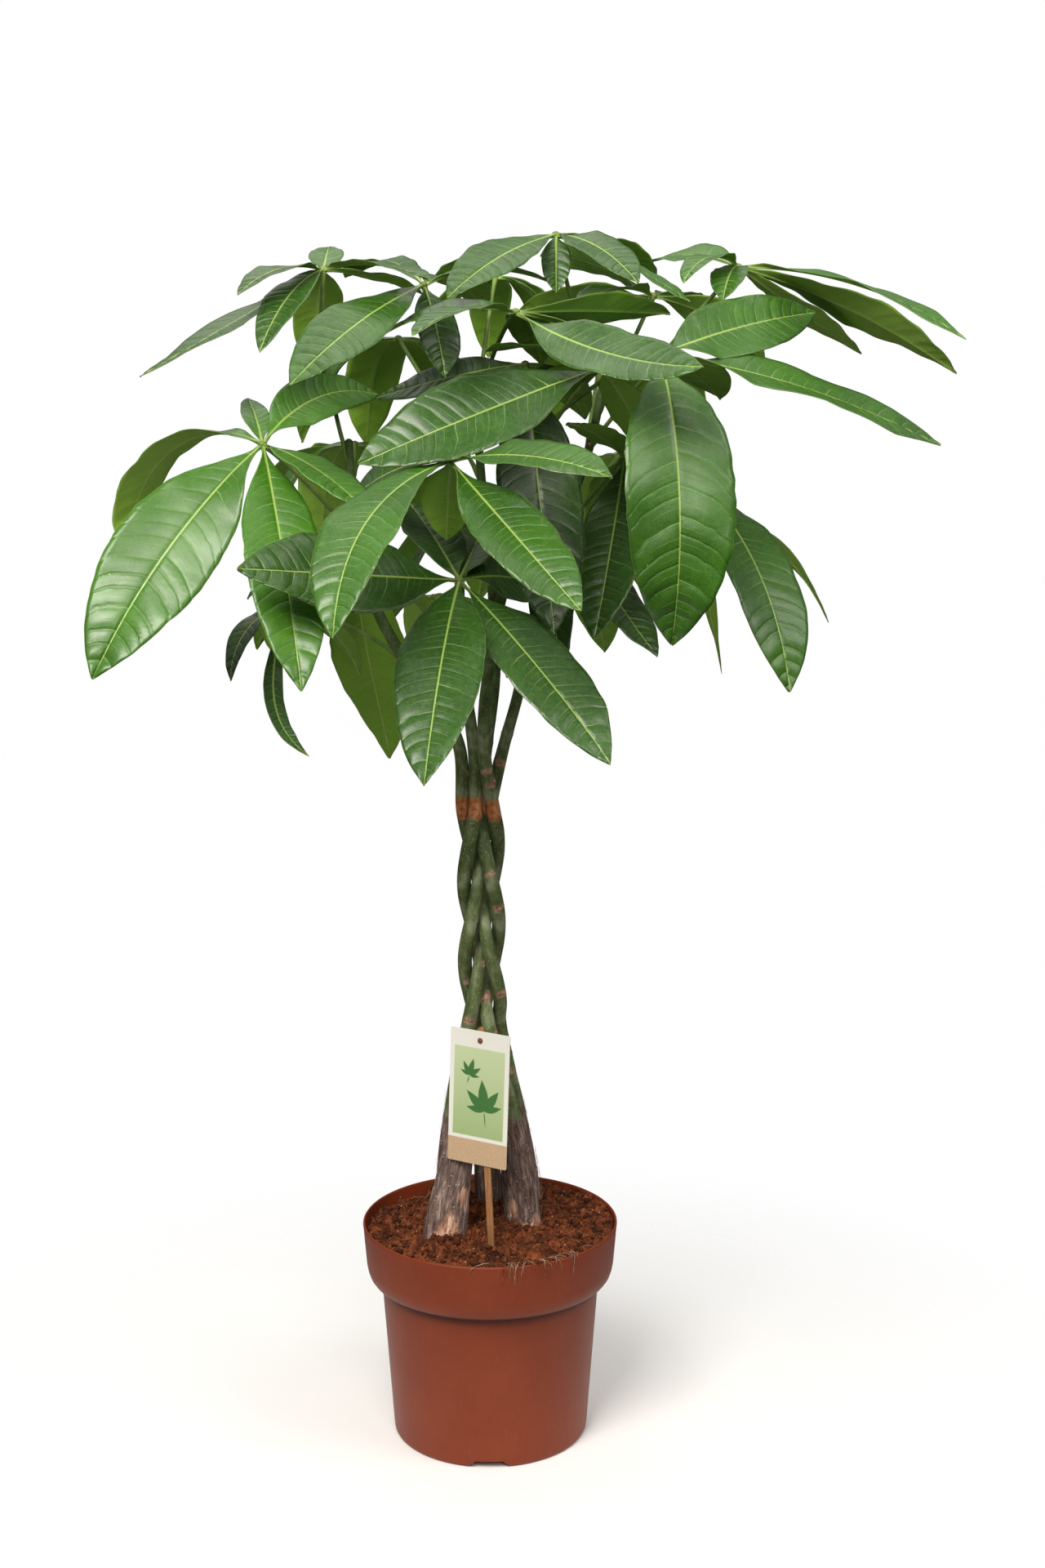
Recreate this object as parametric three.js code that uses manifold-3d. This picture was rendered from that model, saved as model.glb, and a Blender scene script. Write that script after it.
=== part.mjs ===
// Potted money tree: five Pachira trunks braided into one column, in a round plastic nursery pot,
// with a crown of palmate leaves and a plant label on a wooden stick.
// Millimetres, +Z up, seen from -Y. The origin is the centre of the pot's foot, on the ground.
import * as THREE from "three";
import { mergeVertices } from "three/addons/utils/BufferGeometryUtils.js";
import Module from "manifold-3d";

const wasm = await Module();
wasm.setup();

// ---------------------------------------------------------------- driving dimensions

const CLEARANCE = 0.3; // left between two pieces that touch
const WALL_CLEARANCE = 0.4; // the same, measured level against the pot's sloping wall
const UP = new THREE.Vector3(0, 0, 1);
const DEPTHWISE = new THREE.Vector3(0, 1, 0);

// Pot: a 24 cm nursery pot with a deep collar under its rim, as [radius, height]
const RIM_HEIGHT = 207.7;
const FLOOR_UNDERSIDE = 8;
const FLOOR_TOP = 10;
const POT_OUTSIDE = [
  [86, 0], [90.5, 0], [92.3, 4], [103, 151], [109.2, 153.2], [110.5, 153.5], [114.5, 158], [117, 168],
  [120, 205], [120, RIM_HEIGHT],
];
const POT_INSIDE = [
  [118, 206], [115, 168], [112.5, 160], [107.5, 155.4], [101, 153.4], [100.9, 150], [88.8, FLOOR_TOP],
];
const CENTRE_FOOT = [[0, 0], [12, 0], [14, FLOOR_UNDERSIDE]]; // carries the middle of the floor
const POT_SEGMENTS = 32;
const NOTCH_COUNT = 4;
const NOTCH_WIDTH_LOW = 43;
const NOTCH_WIDTH_HIGH = 25;
const NOTCH_HEIGHT = 7;
const DRAIN_COUNT = 6;
const DRAIN_RADIUS = 5;
const DRAIN_CIRCLE = 52;

// Soil
const SOIL_LEVEL = 203;
const SOIL_TILT = [2.6, -1.2]; // rise to the right, and towards the front, at the wall
const SOIL_LUMPS = [1.6, 1.0]; // height of the broad lumps and of the small ones
const SOIL_RINGS = [0.82, 0.58, 0.3]; // of the distance from the middle to the wall

// Trunks
const STEM_SIDES = 7;
const STEM_STEP = 30; // most height between two rings of a trunk
const STEM_TIP = 3; // height of the bud that ends a shoot
const COLUMN = { bottom: 400, top: 604, guides: 11, x: [-6, -8.2] }; // where the trunks are braided
const BRAID_PERIOD = 390; // height in which a strand comes back to its place
const BRAID_PHASE_HEIGHT = 592; // here strand 0 crosses the middle
const BRAID_WIDTH = 14;
const BRAID_SQUARENESS = 1.9;
const BRAID_DEPTH = 16;

// Leaves
const RIB_STEPS = 24; // short straight steps that a midrib is laid out in
const ROLL_BY = 0.3; // of its length, where a leaflet has rolled fully to its side
const BLADE_THICKNESS = 0.8;
const STALK_THICKNESS = 2.4; // of a leaflet where it leaves the hub
const BLADE_FOLD = 0.1; // rise of a blade's edges, of its half width
const BLADE_WAVE = 0.01; // rise and fall of its edges, of its length
const PETIOLE_SIDES = 5;
const PETIOLE_STEPS = 4;
const PETIOLE_RADIUS = 2.2;
const PETIOLE_SWELLING = [1.2, 0.8]; // at the trunk and at the hub
const PETIOLE_SPRING = 55; // degrees, a petiole steeper than this bends outwards first
const PETIOLE_BEND = 0.25;
const HUB_RADIUS = 4.2;

// Label and stick
const CARD_WIDTH = 60;
const CARD_HEIGHT = 127;
const CARD_THICKNESS = 0.8;
const CARD_CORNER = 1.5;
const CARD_HOLE_RADIUS = 2.7;
const CARD_HOLE_DROP = 9; // from the card's top edge
const CARD_SWING = 4.8; // degrees, round the peg that it hangs on
const STICK_WIDTH = 6;
const STICK_DEPTH = 3;
const STICK_BURIED = 50;
const STICK_HEIGHT = 210; // above the soil
const STICK_POINT = 9; // length of its sharpened end
const STICK_CORNER = 2.4;
const PEG_HEIGHT = 198;
const PEG_RADIUS = 2.3;
const PEG_LENGTH = 2.4;
const STICK_PLACE = new THREE.Vector3(2.2, -63.5, SOIL_LEVEL);
const STICK_LEAN = -2.8; // degrees, to the left
const STICK_YAW = -26; // degrees, the card's right edge comes nearer

// Leaflet outline: stations along its midrib, as [share of its length, share of its half width]
const OUTLINE = [[0, 0], [0.12, 0.26], [0.3, 0.82], [0.54, 1], [0.82, 0.66], [1, 0]];

// Trunks: the strand's number in the braid, the radius at the soil, the guide points [x, y, z] of the
// splayed foot, and those of the shoot above the braid
const STEMS = {
  stem_1: {
    strand: 1,
    foot: 15,
    low: [[36, 46, 150], [35, 44, 205], [30, 37, 265], [18, 23, 340]],
    high: [
      [-27, 2, 660], [-46, -4, 702], [-76, -8, 742], [-100, -10, 787], [-115, -8, 840], [-122, -4, 900],
      [-124, 0, 935],
    ],
  },
  stem_2: {
    strand: 2,
    foot: 18,
    low: [[34, 0, 150], [32, -2, 205], [26, -8, 265], [13, -14, 340]],
    high: [[-14, 4, 660], [-22, 10, 720], [-26, 0, 790], [-24, -12, 850], [-22, -18, 885]],
  },
  stem_3: {
    strand: 0,
    foot: 19,
    low: [[-44, -42, 150], [-42, -40, 205], [-33, -31, 265], [-17, -15, 340]],
    high: [[-2, 18, 660], [5, 32, 720], [4, 44, 790], [-4, 48, 870], [-10, 44, 940], [-12, 40, 985]],
  },
  stem_4: {
    strand: 4,
    foot: 15.5,
    low: [[-38, 26, 150], [-37, 26, 205], [-36, 20, 265], [-31, 7, 340]],
    high: [[-4, -15, 660], [-2, -22, 715], [10, -26, 790], [28, -28, 870], [44, -34, 930], [52, -38, 968]],
  },
  stem_5: {
    strand: 3,
    foot: 14.5,
    low: [[-1, 48, 150], [-1, 46, 205], [-4, 40, 265], [-9, 26, 340]],
    high: [[14, 14, 660], [27, 14, 709], [42, 14, 779], [64, 20, 850], [90, 28, 925], [104, 34, 990]],
  },
};

// Radius along a trunk as [height, radius]: shares of its foot's radius, then millimetres above them
const FOOT_TAPER = [[150, 1], [205, 1], [230, 0.97], [265, 0.84], [300, 0.68], [340, 0.5]];
const SHOOT_TAPER = [[385, 6.7], [420, 6.5], [600, 6.5], [660, 5.6], [760, 5], [880, 4.2], [1000, 3.4]];

// Leaflets of a leaf at the back of the crown, spread evenly about the bearing that the leaf faces
function fan(facing, spread, count, length) {
  const leaflets = [];
  for (let i = 0; i < count; i += 1) {
    const off = spread * (i / (count - 1) - 0.5);
    const own = length * (0.72 + 0.28 * Math.cos(radians(off * 1.1)));
    leaflets.push([facing + off, 6 - Math.abs(off) * 0.06, 90, own, 0.32 * own, 0]);
  }
  return leaflets;
}

// Compound leaves: name, trunk, height at which the petiole leaves it, hub [x, y, z], and leaflets as
// [compass bearing from +X, pitch at the hub, how far it bends down to its tip, length, width, roll,
// swing of the bearing to its tip], in degrees and millimetres. The bearing turns from +X to +Y.
const LEAVES = [
  // left, low: in front of the left shoot
  ["leaf_01", "stem_1", 845, [-190, -90, 935], [
    [150, 24, 120, 222, 66, 0], [-139, -35, 25, 255, 88, -45], [-73, -42, 20, 245, 65, 0],
    [-43, -9, 27, 140, 54, 0], [50, 45, 58, 155, 50, 40], [105, 35, 20, 90, 24, 0],
  ]],
  // left, high
  ["leaf_02", "stem_1", 915, [-145, 10, 1085], [
    [90, 26, 10, 62, 32, 0], [-120, 8, 40, 130, 36, 0], [-134, -25, 0, 222, 44, 0],
    [-110, -10, 40, 150, 38, 0], [100, -15, 60, 140, 46, 0], [-48, 8, 28, 150, 42, 0],
    [50, 0, 15, 130, 42, 0],
  ]],
  ["leaf_03", "stem_3", 935, [-55, -30, 1070], [
    [-123, -16, 18, 205, 58, -20], [125, 35, 60, 140, 45, 0], [70, 18, 50, 150, 50, 0],
    [20, 25, 50, 130, 44, 0], [-62, -50, 25, 90, 40, 0],
  ]],
  // top
  ["leaf_04", "stem_5", 984, [60, 10, 1115], [
    [-127, -10, 23, 165, 48, -20], [135, -8, 8, 165, 40, 0], [-57, -4, 34, 135, 40, 15],
    [49, 3, 32, 150, 50, 0], [-90, -45, 30, 60, 26, 0], [-30, -17, 15, 145, 44, 0],
  ]],
  ["leaf_05", "stem_5", 958, [150, 70, 1065], [
    [130, 28, 25, 165, 52, 32], [160, 3, 20, 135, 44, 30], [56, 7, 26, 100, 38, 0],
    [-126, 14, 42, 130, 44, 0], [10, -10, 40, 125, 54, -30],
  ]],
  // right, high
  ["leaf_06", "stem_5", 930, [222, 20, 1088], [
    [-33, -1, 32, 228, 44, 0], [15, -14, 19, 235, 60, -15], [33, -27, 0, 165, 48, 0],
    [-131, 29, 82, 90, 34, 0], [128, 20, 31, 118, 42, -20], [-108, 0, 57, 70, 32, 0],
  ]],
  // right front, with the widest leaflet
  ["leaf_07", "stem_4", 945, [144, -110, 1009], [
    [37, 18, 12, 185, 60, 50], [10, -7, 20, 262, 64, 25], [-79, -35, 85, 265, 94, 0],
    [58, -6, 24, 122, 58, 0], [110, 15, 40, 130, 44, 0],
  ]],
  // middle front, high
  ["leaf_08", "stem_3", 960, [25, -120, 1044], [
    [-130, 10, 40, 130, 46, 0], [155, 12, 42, 135, 44, -20], [-41, -26, -25, 200, 56, 40],
    [23, -8, 30, 150, 46, 0], [41, 3, 5, 180, 50, -30], [77, 0, 46, 110, 40, 0],
  ]],
  ["leaf_09", "stem_4", 925, [95, -130, 998], [
    [-163, -18, 5, 220, 76, -50], [60, -25, 30, 120, 44, 0], [110, 5, 40, 150, 48, 0],
    [145, 25, 35, 120, 44, 0], [25, 0, 40, 100, 40, 0],
  ]],
  ["leaf_10", "stem_4", 885, [33, -85, 1002], [
    [-75, -67, 0, 238, 74, 0], [147, -5, 11, 160, 48, -40], [65, 0, 40, 140, 46, 0],
    [110, 0, 40, 130, 44, 0],
  ]],
  // middle front
  ["leaf_11", "stem_2", 850, [-28, -181, 924], [
    [-36, 11, 30, 160, 48, 25], [-52, -33, 0, 200, 60, 25], [-143, -14, 46, 220, 62, 0, 50],
    [134, 1, 40, 160, 46, -45], [95, -35, 30, 90, 44, 0],
  ]],
  // middle front, low
  ["leaf_12", "stem_2", 765, [-22, -140, 824], [
    [-97, -24, 27, 235, 70, 0], [-44, -33, 11, 218, 66, 20], [-150, 5, 0, 200, 76, -50],
    [114, 32, 10, 135, 50, 0], [50, 6, 32, 140, 54, 50], [78, 24, 2, 115, 40, 0],
  ]],
  // right, low
  ["leaf_13", "stem_5", 835, [192, 10, 892], [
    [-61, -23, 54, 225, 70, 0], [19, -25, 37, 182, 26, 0], [100, -55, 25, 190, 16, 0, -80],
    [-100, 18, 50, 80, 34, 0], [125, 12, 40, 130, 42, 0],
  ]],
  ["leaf_14", "stem_5", 850, [122, 10, 921], [
    [-119, 27, 21, 110, 44, 0], [-106, -60, -10, 185, 60, 0], [-45, -25, 40, 110, 40, 0],
    [70, 0, 40, 130, 44, 0], [105, -26, 40, 110, 42, 0],
  ]],
  ["leaf_15", "stem_5", 785, [78, 0, 858], [
    [-49, -50, -10, 150, 52, 0], [70, -46, 16, 150, 50, 0], [30, -20, 40, 105, 40, 0],
    [-128, -38, 90, 130, 48, 0], [165, -10, 50, 110, 42, 0],
  ]],
  // left, low, behind
  ["leaf_16", "stem_1", 770, [-125, 40, 830], [
    [85, -62, 12, 215, 80, 0, -35], [150, -12, 55, 150, 48, 0], [25, -20, 50, 140, 46, 0],
    [-160, 10, 60, 110, 42, 0],
  ]],
  ["leaf_17", "stem_1", 740, [-184, 10, 786], [
    [-133, 4, 93, 100, 30, 0], [-120, -66, -45, 175, 18, 0, 80], [100, -5, 50, 120, 42, 0],
    [40, -10, 60, 110, 40, 0],
  ]],
  // the back of the crown
  ["leaf_18", "stem_3", 900, [-85, 110, 1028], fan(108, 180, 5, 180)],
  ["leaf_19", "stem_3", 965, [5, 155, 1086], fan(95, 200, 5, 130)],
  ["leaf_20", "stem_5", 915, [110, 165, 1033], fan(72, 190, 5, 180)],
  ["leaf_21", "stem_1", 880, [-130, 150, 930], fan(110, 190, 5, 190)],
  ["leaf_22", "stem_2", 820, [-5, 182, 866], fan(94, 200, 5, 180)],
  ["leaf_23", "stem_5", 810, [124, 150, 920], fan(72, 180, 5, 165)],
  ["leaf_24", "stem_2", 740, [-55, 130, 785], fan(95, 210, 5, 165)],
];

// ---------------------------------------------------------------- numbers and solids

function radians(degrees) {
  return (degrees * Math.PI) / 180;
}

// Reads a table of [x, value] rows in straight lines between them
function interpolate(table, x) {
  const next = table.findIndex(([at]) => at > x);
  if (next === -1) return table.at(-1)[1];
  if (next === 0) return table[0][1];
  const [x0, value0] = table[next - 1];
  const [x1, value1] = table[next];
  return value0 + ((value1 - value0) * (x - x0)) / (x1 - x0);
}

function closedGeometry(points, triangles) {
  const geometry = new THREE.BufferGeometry();
  geometry.setFromPoints(points);
  geometry.setIndex(triangles);
  return geometry;
}

// A closed geometry as a solid that can be joined and cut
function solidOf(geometry) {
  geometry.deleteAttribute("normal");
  geometry.deleteAttribute("uv");
  const merged = mergeVertices(geometry);
  return new wasm.Manifold(new wasm.Mesh({
    numProp: 3,
    vertProperties: new Float32Array(merged.attributes.position.array),
    triVerts: new Uint32Array(merged.index.array),
  }));
}

function geometryOf(solid) {
  const mesh = solid.getMesh();
  const geometry = new THREE.BufferGeometry();
  geometry.setAttribute("position", new THREE.BufferAttribute(new Float32Array(mesh.vertProperties), 3));
  geometry.setIndex(new THREE.BufferAttribute(new Uint32Array(mesh.triVerts), 1));
  geometry.computeVertexNormals();
  return geometry;
}

// The largest body of a solid, without loose scraps and sealed hollows
function mainBody(solid) {
  const bodies = solid.decompose();
  return bodies.reduce((largest, body) => (body.volume() > largest.volume() ? body : largest));
}

// A closed body through rings of points, which run anticlockwise seen from the far end
function loft(rings, start, end) {
  const count = rings[0].length;
  const points = [start, ...rings.flat(), end];
  const last = points.length - 1;
  const triangles = [];
  for (let side = 0; side < count; side += 1) {
    const next = (side + 1) % count;
    triangles.push(0, 1 + next, 1 + side);
    for (let ring = 0; ring < rings.length - 1; ring += 1) {
      const low = 1 + ring * count;
      const high = low + count;
      triangles.push(low + side, low + next, high + next);
      triangles.push(low + side, high + next, high + side);
    }
    triangles.push(last, last - count + side, last - count + next);
  }
  return closedGeometry(points, triangles);
}

// A tube along points, with a radius at each point. Its first corner lies towards sideways.
function tube(path, radii, sides, sideways, tip = 0) {
  const rings = [];
  const directions = path.map((point, i) => {
    const before = path[Math.max(i - 1, 0)];
    const after = path[Math.min(i + 1, path.length - 1)];
    return after.clone().sub(before).normalize();
  });
  path.forEach((centre, i) => {
    const across = sideways.clone().addScaledVector(directions[i], -sideways.dot(directions[i])).normalize();
    const along = directions[i].clone().cross(across);
    const ring = [];
    for (let side = 0; side < sides; side += 1) {
      const angle = (2 * Math.PI * side) / sides;
      const corner = centre.clone().addScaledVector(across, radii[i] * Math.cos(angle));
      ring.push(corner.addScaledVector(along, radii[i] * Math.sin(angle)));
    }
    rings.push(ring);
  });
  const end = path.at(-1).clone().addScaledVector(directions.at(-1), tip);
  return loft(rings, path[0].clone(), end);
}

// ---------------------------------------------------------------- pot and soil

function potGeometry() {
  const profile = [...CENTRE_FOOT, [POT_OUTSIDE[0][0], FLOOR_UNDERSIDE], ...POT_OUTSIDE];
  profile.push([118.4, RIM_HEIGHT], ...POT_INSIDE, [0, FLOOR_TOP]);
  const points = profile.map(([radius, height]) => new THREE.Vector2(radius, height));
  let pot = solidOf(new THREE.LatheGeometry(points, POT_SEGMENTS).rotateX(Math.PI / 2));
  for (let i = 0; i < NOTCH_COUNT; i += 1) {
    pot = pot.subtract(solidOf(notch().rotateZ((2 * Math.PI * i) / NOTCH_COUNT)));
  }
  for (let i = 0; i < DRAIN_COUNT; i += 1) {
    const angle = (2 * Math.PI * (i + 0.5)) / DRAIN_COUNT;
    const hole = new THREE.CylinderGeometry(DRAIN_RADIUS, DRAIN_RADIUS, 3 * FLOOR_UNDERSIDE, 8);
    hole.rotateX(Math.PI / 2);
    hole.translate(DRAIN_CIRCLE * Math.cos(angle), DRAIN_CIRCLE * Math.sin(angle), FLOOR_TOP);
    pot = pot.subtract(solidOf(hole));
  }
  return geometryOf(mainBody(pot));
}

// The drain notch in the front of the foot ring
function notch() {
  const below = 1;
  const low = NOTCH_WIDTH_LOW / 2;
  const high = NOTCH_WIDTH_HIGH / 2;
  const shape = new THREE.Shape();
  shape.moveTo(-low - below, -below);
  shape.lineTo(low + below, -below);
  shape.lineTo(high, NOTCH_HEIGHT);
  shape.lineTo(-high, NOTCH_HEIGHT);
  const outer = POT_OUTSIDE[2][0] + 2;
  const depth = outer - POT_OUTSIDE[0][0] + 12;
  const geometry = new THREE.ExtrudeGeometry(shape, { depth, bevelEnabled: false });
  return geometry.rotateX(Math.PI / 2).translate(0, depth - outer, 0);
}

function soilHeight(x, y) {
  const tilt = (SOIL_TILT[0] * x + SOIL_TILT[1] * y) / POT_INSIDE[0][0];
  const broad = SOIL_LUMPS[0] * Math.sin(x / 11) * Math.cos(y / 13 + 1);
  const small = SOIL_LUMPS[1] * Math.sin(x / 6.3 - y / 7.7 + 2);
  return SOIL_LEVEL + tilt + broad + small;
}

function soilRing(radius, height) {
  const ring = [];
  for (let i = 0; i < POT_SEGMENTS; i += 1) {
    const angle = (2 * Math.PI * i) / POT_SEGMENTS;
    const x = radius * Math.cos(angle);
    const y = radius * Math.sin(angle);
    ring.push(new THREE.Vector3(x, y, height === undefined ? soilHeight(x, y) : height));
  }
  return ring;
}

function soilGeometry(trunks, stick) {
  const inside = [...POT_INSIDE].reverse();
  const rings = inside.slice(0, -1).map(([radius, height]) => (
    soilRing(radius - WALL_CLEARANCE, height + CLEARANCE)
  ));
  const byHeight = inside.map(([radius, height]) => [height, radius]);
  const wall = interpolate(byHeight, SOIL_LEVEL - SOIL_TILT[0]) - WALL_CLEARANCE;
  rings.push(soilRing(wall));
  SOIL_RINGS.forEach((share) => rings.push(soilRing(share * wall)));
  const bottom = new THREE.Vector3(0, 0, FLOOR_TOP + CLEARANCE);
  const middle = new THREE.Vector3(0, 0, soilHeight(0, 0));
  let soil = solidOf(loft(rings, bottom, middle));
  trunks.forEach((trunk) => {
    soil = soil.subtract(solidOf(trunk));
  });
  return geometryOf(mainBody(soil.subtract(solidOf(stick))));
}

// ---------------------------------------------------------------- trunks

// The middle of a strand of the braid: it goes round a figure of eight, one fifth behind the next
function braidPoint(strand, z) {
  const angle = radians(90 + (360 * (z - BRAID_PHASE_HEIGHT)) / BRAID_PERIOD + 72 * strand);
  const share = (z - COLUMN.bottom) / (COLUMN.top - COLUMN.bottom);
  const middle = COLUMN.x[0] + (COLUMN.x[1] - COLUMN.x[0]) * share;
  const x = middle + BRAID_WIDTH * Math.cos(angle) + BRAID_SQUARENESS * Math.cos(3 * angle);
  return [x, -BRAID_DEPTH * Math.sin(2 * angle), z];
}

function trunkGuides({ strand, low, high }) {
  const braid = [];
  for (let i = 0; i < COLUMN.guides; i += 1) {
    const z = COLUMN.bottom + ((COLUMN.top - COLUMN.bottom) * i) / (COLUMN.guides - 1);
    braid.push(braidPoint(strand, z));
  }
  return [...low, ...braid, ...high];
}

// The point of a trunk's middle line at a height, on a smooth curve through its guide points
function trunkPoint(guides, z) {
  const next = guides.findIndex((guide) => guide[2] > z);
  const upper = next === -1 ? guides.length - 1 : Math.max(next, 1);
  const slope = (i, axis) => {
    const before = guides[Math.max(i - 1, 0)];
    const after = guides[Math.min(i + 1, guides.length - 1)];
    return (after[axis] - before[axis]) / (after[2] - before[2]);
  };
  const from = guides[upper - 1];
  const to = guides[upper];
  const span = to[2] - from[2];
  const t = (z - from[2]) / span;
  const across = (axis) => {
    const ends = (2 * t ** 3 - 3 * t ** 2 + 1) * from[axis] + (3 * t ** 2 - 2 * t ** 3) * to[axis];
    const leaving = (t ** 3 - 2 * t ** 2 + t) * span * slope(upper - 1, axis);
    const arriving = (t ** 3 - t ** 2) * span * slope(upper, axis);
    return ends + leaving + arriving;
  };
  return new THREE.Vector3(across(0), across(1), z);
}

function trunkRadius(foot, z) {
  const low = FOOT_TAPER.map(([height, share]) => [height, share * foot]);
  return interpolate([...low, ...SHOOT_TAPER], z);
}

// A trunk as a tube, swollen by a margin where it is to cut a hole
function trunkGeometry(stem, margin = 0) {
  const guides = trunkGuides(stem);
  const heights = guides.flatMap(([, , z], i) => {
    const next = guides[i + 1]?.[2];
    return next - z > STEM_STEP ? [z, (z + next) / 2] : [z];
  });
  const path = heights.map((z) => trunkPoint(guides, z));
  const radii = heights.map((z) => trunkRadius(stem.foot, z) + margin);
  path[0].z -= margin;
  return tube(path, radii, STEM_SIDES, DEPTHWISE, STEM_TIP + margin);
}

// ---------------------------------------------------------------- leaves

// The direction in which a leaflet's midrib heads, a share of the way along it
function heading([bearing, pitch, droop, , , , swing = 0], share) {
  const turn = radians(bearing + swing * share);
  const rise = radians(pitch - droop * share);
  return new THREE.Vector3(Math.cos(rise) * Math.cos(turn), Math.cos(rise) * Math.sin(turn), Math.sin(rise));
}

function midrib(hub, leaflet) {
  const length = leaflet[3];
  const points = [hub];
  for (let i = 0; i < RIB_STEPS; i += 1) {
    const step = heading(leaflet, (i + 0.5) / RIB_STEPS).multiplyScalar(length / RIB_STEPS);
    points.push(points.at(-1).clone().add(step));
  }
  return points;
}

// The left edge, midrib and right edge of a leaflet at each station, and one point at either end
function bladeStations(hub, leaflet) {
  const [bearing, , , length, width, roll, swing = 0] = leaflet;
  const rib = midrib(hub, leaflet);
  return OUTLINE.map(([share, breadth], i) => {
    const before = Math.min(Math.floor(share * RIB_STEPS), RIB_STEPS - 1);
    const centre = rib[before].clone().lerp(rib[before + 1], share * RIB_STEPS - before);
    const turn = radians(bearing + swing * share);
    const level = new THREE.Vector3(-Math.sin(turn), Math.cos(turn), 0);
    const top = heading(leaflet, share).cross(level);
    const tilt = radians(roll * Math.min(1, share / ROLL_BY));
    const left = level.clone().multiplyScalar(Math.cos(tilt)).addScaledVector(top, Math.sin(tilt));
    const upper = top.clone().multiplyScalar(Math.cos(tilt)).addScaledVector(level, -Math.sin(tilt));
    const half = (breadth * width) / 2;
    const wave = BLADE_WAVE * length * (i % 2 === 0 ? 1 : -1);
    const edge = (side) => centre.clone().addScaledVector(left, side * half)
      .addScaledVector(upper, half * BLADE_FOLD + side * wave);
    return breadth === 0 ? [centre, centre, centre] : [edge(1), centre, edge(-1)];
  });
}

// A leaflet as a thin closed body, its two faces split into triangles alike
function bladeGeometry(hub, leaflet) {
  const stations = bladeStations(hub, leaflet);
  const last = stations.length - 1;
  const points = [];
  stations.forEach((row, i) => {
    row.forEach((point, j) => {
      const beyond = stations[Math.min(i + 1, last)];
      const before = stations[Math.max(i - 1, 0)];
      const across = (i === 0 ? beyond : i === last ? before : row);
      const along = beyond[j].clone().sub(before[j]);
      const leftward = across[Math.max(j - 1, 0)].clone().sub(across[Math.min(j + 1, 2)]);
      const normal = along.cross(leftward).normalize();
      const half = (i === 0 ? STALK_THICKNESS : BLADE_THICKNESS) / 2;
      points.push(point.clone().addScaledVector(normal, half), point.clone().addScaledVector(normal, -half));
    });
  });
  const corner = (i, j, face) => 6 * i + 2 * (i === 0 || i === last ? 1 : j) + face;
  const triangles = [];
  const triangle = (a, b, c) => {
    if (a !== b && b !== c && c !== a) triangles.push(a, b, c);
  };
  const quad = (a, b, c, d) => {
    triangle(a, b, c);
    triangle(a, c, d);
  };
  for (let i = 0; i < last; i += 1) {
    for (let j = 0; j < 2; j += 1) {
      quad(corner(i, j, 0), corner(i, j + 1, 0), corner(i + 1, j + 1, 0), corner(i + 1, j, 0));
      triangle(corner(i, j, 1), corner(i + 1, j + 1, 1), corner(i, j + 1, 1));
      triangle(corner(i, j, 1), corner(i + 1, j, 1), corner(i + 1, j + 1, 1));
    }
    quad(corner(i, 0, 0), corner(i + 1, 0, 0), corner(i + 1, 0, 1), corner(i, 0, 1));
    quad(corner(i, 2, 0), corner(i, 2, 1), corner(i + 1, 2, 1), corner(i + 1, 2, 0));
  }
  return closedGeometry(points, triangles);
}

// The petiole rises from the trunk and bends over, or up, to the leaf's hub
function petioleGeometry(start, hub) {
  const chord = hub.clone().sub(start);
  const level = new THREE.Vector3(chord.x, chord.y, 0).normalize();
  const steepness = Math.atan2(chord.z, Math.hypot(chord.x, chord.y));
  const outward = level.clone().multiplyScalar(Math.sin(steepness)).addScaledVector(UP, -Math.cos(steepness));
  const bulge = (PETIOLE_BEND * chord.length() * ((180 * steepness) / Math.PI - PETIOLE_SPRING)) / 60;
  const bend = start.clone().addScaledVector(chord, 0.5).addScaledVector(outward, bulge);
  const path = new THREE.QuadraticBezierCurve3(start, bend, hub).getPoints(PETIOLE_STEPS);
  const radii = path.map((point, i) => {
    const nearTrunk = i === 0 ? PETIOLE_SWELLING[0] : 0;
    const nearHub = i === PETIOLE_STEPS ? PETIOLE_SWELLING[1] : 0;
    return PETIOLE_RADIUS + nearTrunk + nearHub;
  });
  return tube(path, radii, PETIOLE_SIDES, level.clone().cross(UP));
}

// A compound leaf: petiole, hub and leaflets in one body, seated against its trunk
function leafGeometry(stem, height, hubPlace, leaflets) {
  const hub = new THREE.Vector3(...hubPlace);
  const start = trunkPoint(trunkGuides(stem), height);
  let leaf = solidOf(petioleGeometry(start, hub));
  const ball = new THREE.OctahedronGeometry(HUB_RADIUS).translate(hub.x, hub.y, hub.z);
  leaf = leaf.add(solidOf(ball));
  leaflets.forEach((leaflet) => {
    leaf = leaf.add(solidOf(bladeGeometry(hub, leaflet)));
  });
  leaf = leaf.subtract(solidOf(trunkGeometry(stem, CLEARANCE)));
  return geometryOf(mainBody(leaf));
}

// ---------------------------------------------------------------- label

// The stick and the card lie in one plane, with the stick's middle line on the z axis
function stickOutline(margin = 0) {
  const half = STICK_WIDTH / 2 + margin;
  const top = STICK_HEIGHT + margin;
  const corner = STICK_CORNER;
  const shape = new THREE.Shape();
  shape.moveTo(-half, STICK_POINT - STICK_BURIED);
  shape.lineTo(-1 - margin, -STICK_BURIED - margin);
  shape.lineTo(1 + margin, -STICK_BURIED - margin);
  shape.lineTo(half, STICK_POINT - STICK_BURIED);
  shape.lineTo(half, top - corner);
  shape.absarc(half - corner, top - corner, corner, 0, Math.PI / 2);
  shape.absarc(corner - half, top - corner, corner, Math.PI / 2, Math.PI);
  return shape;
}

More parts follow.
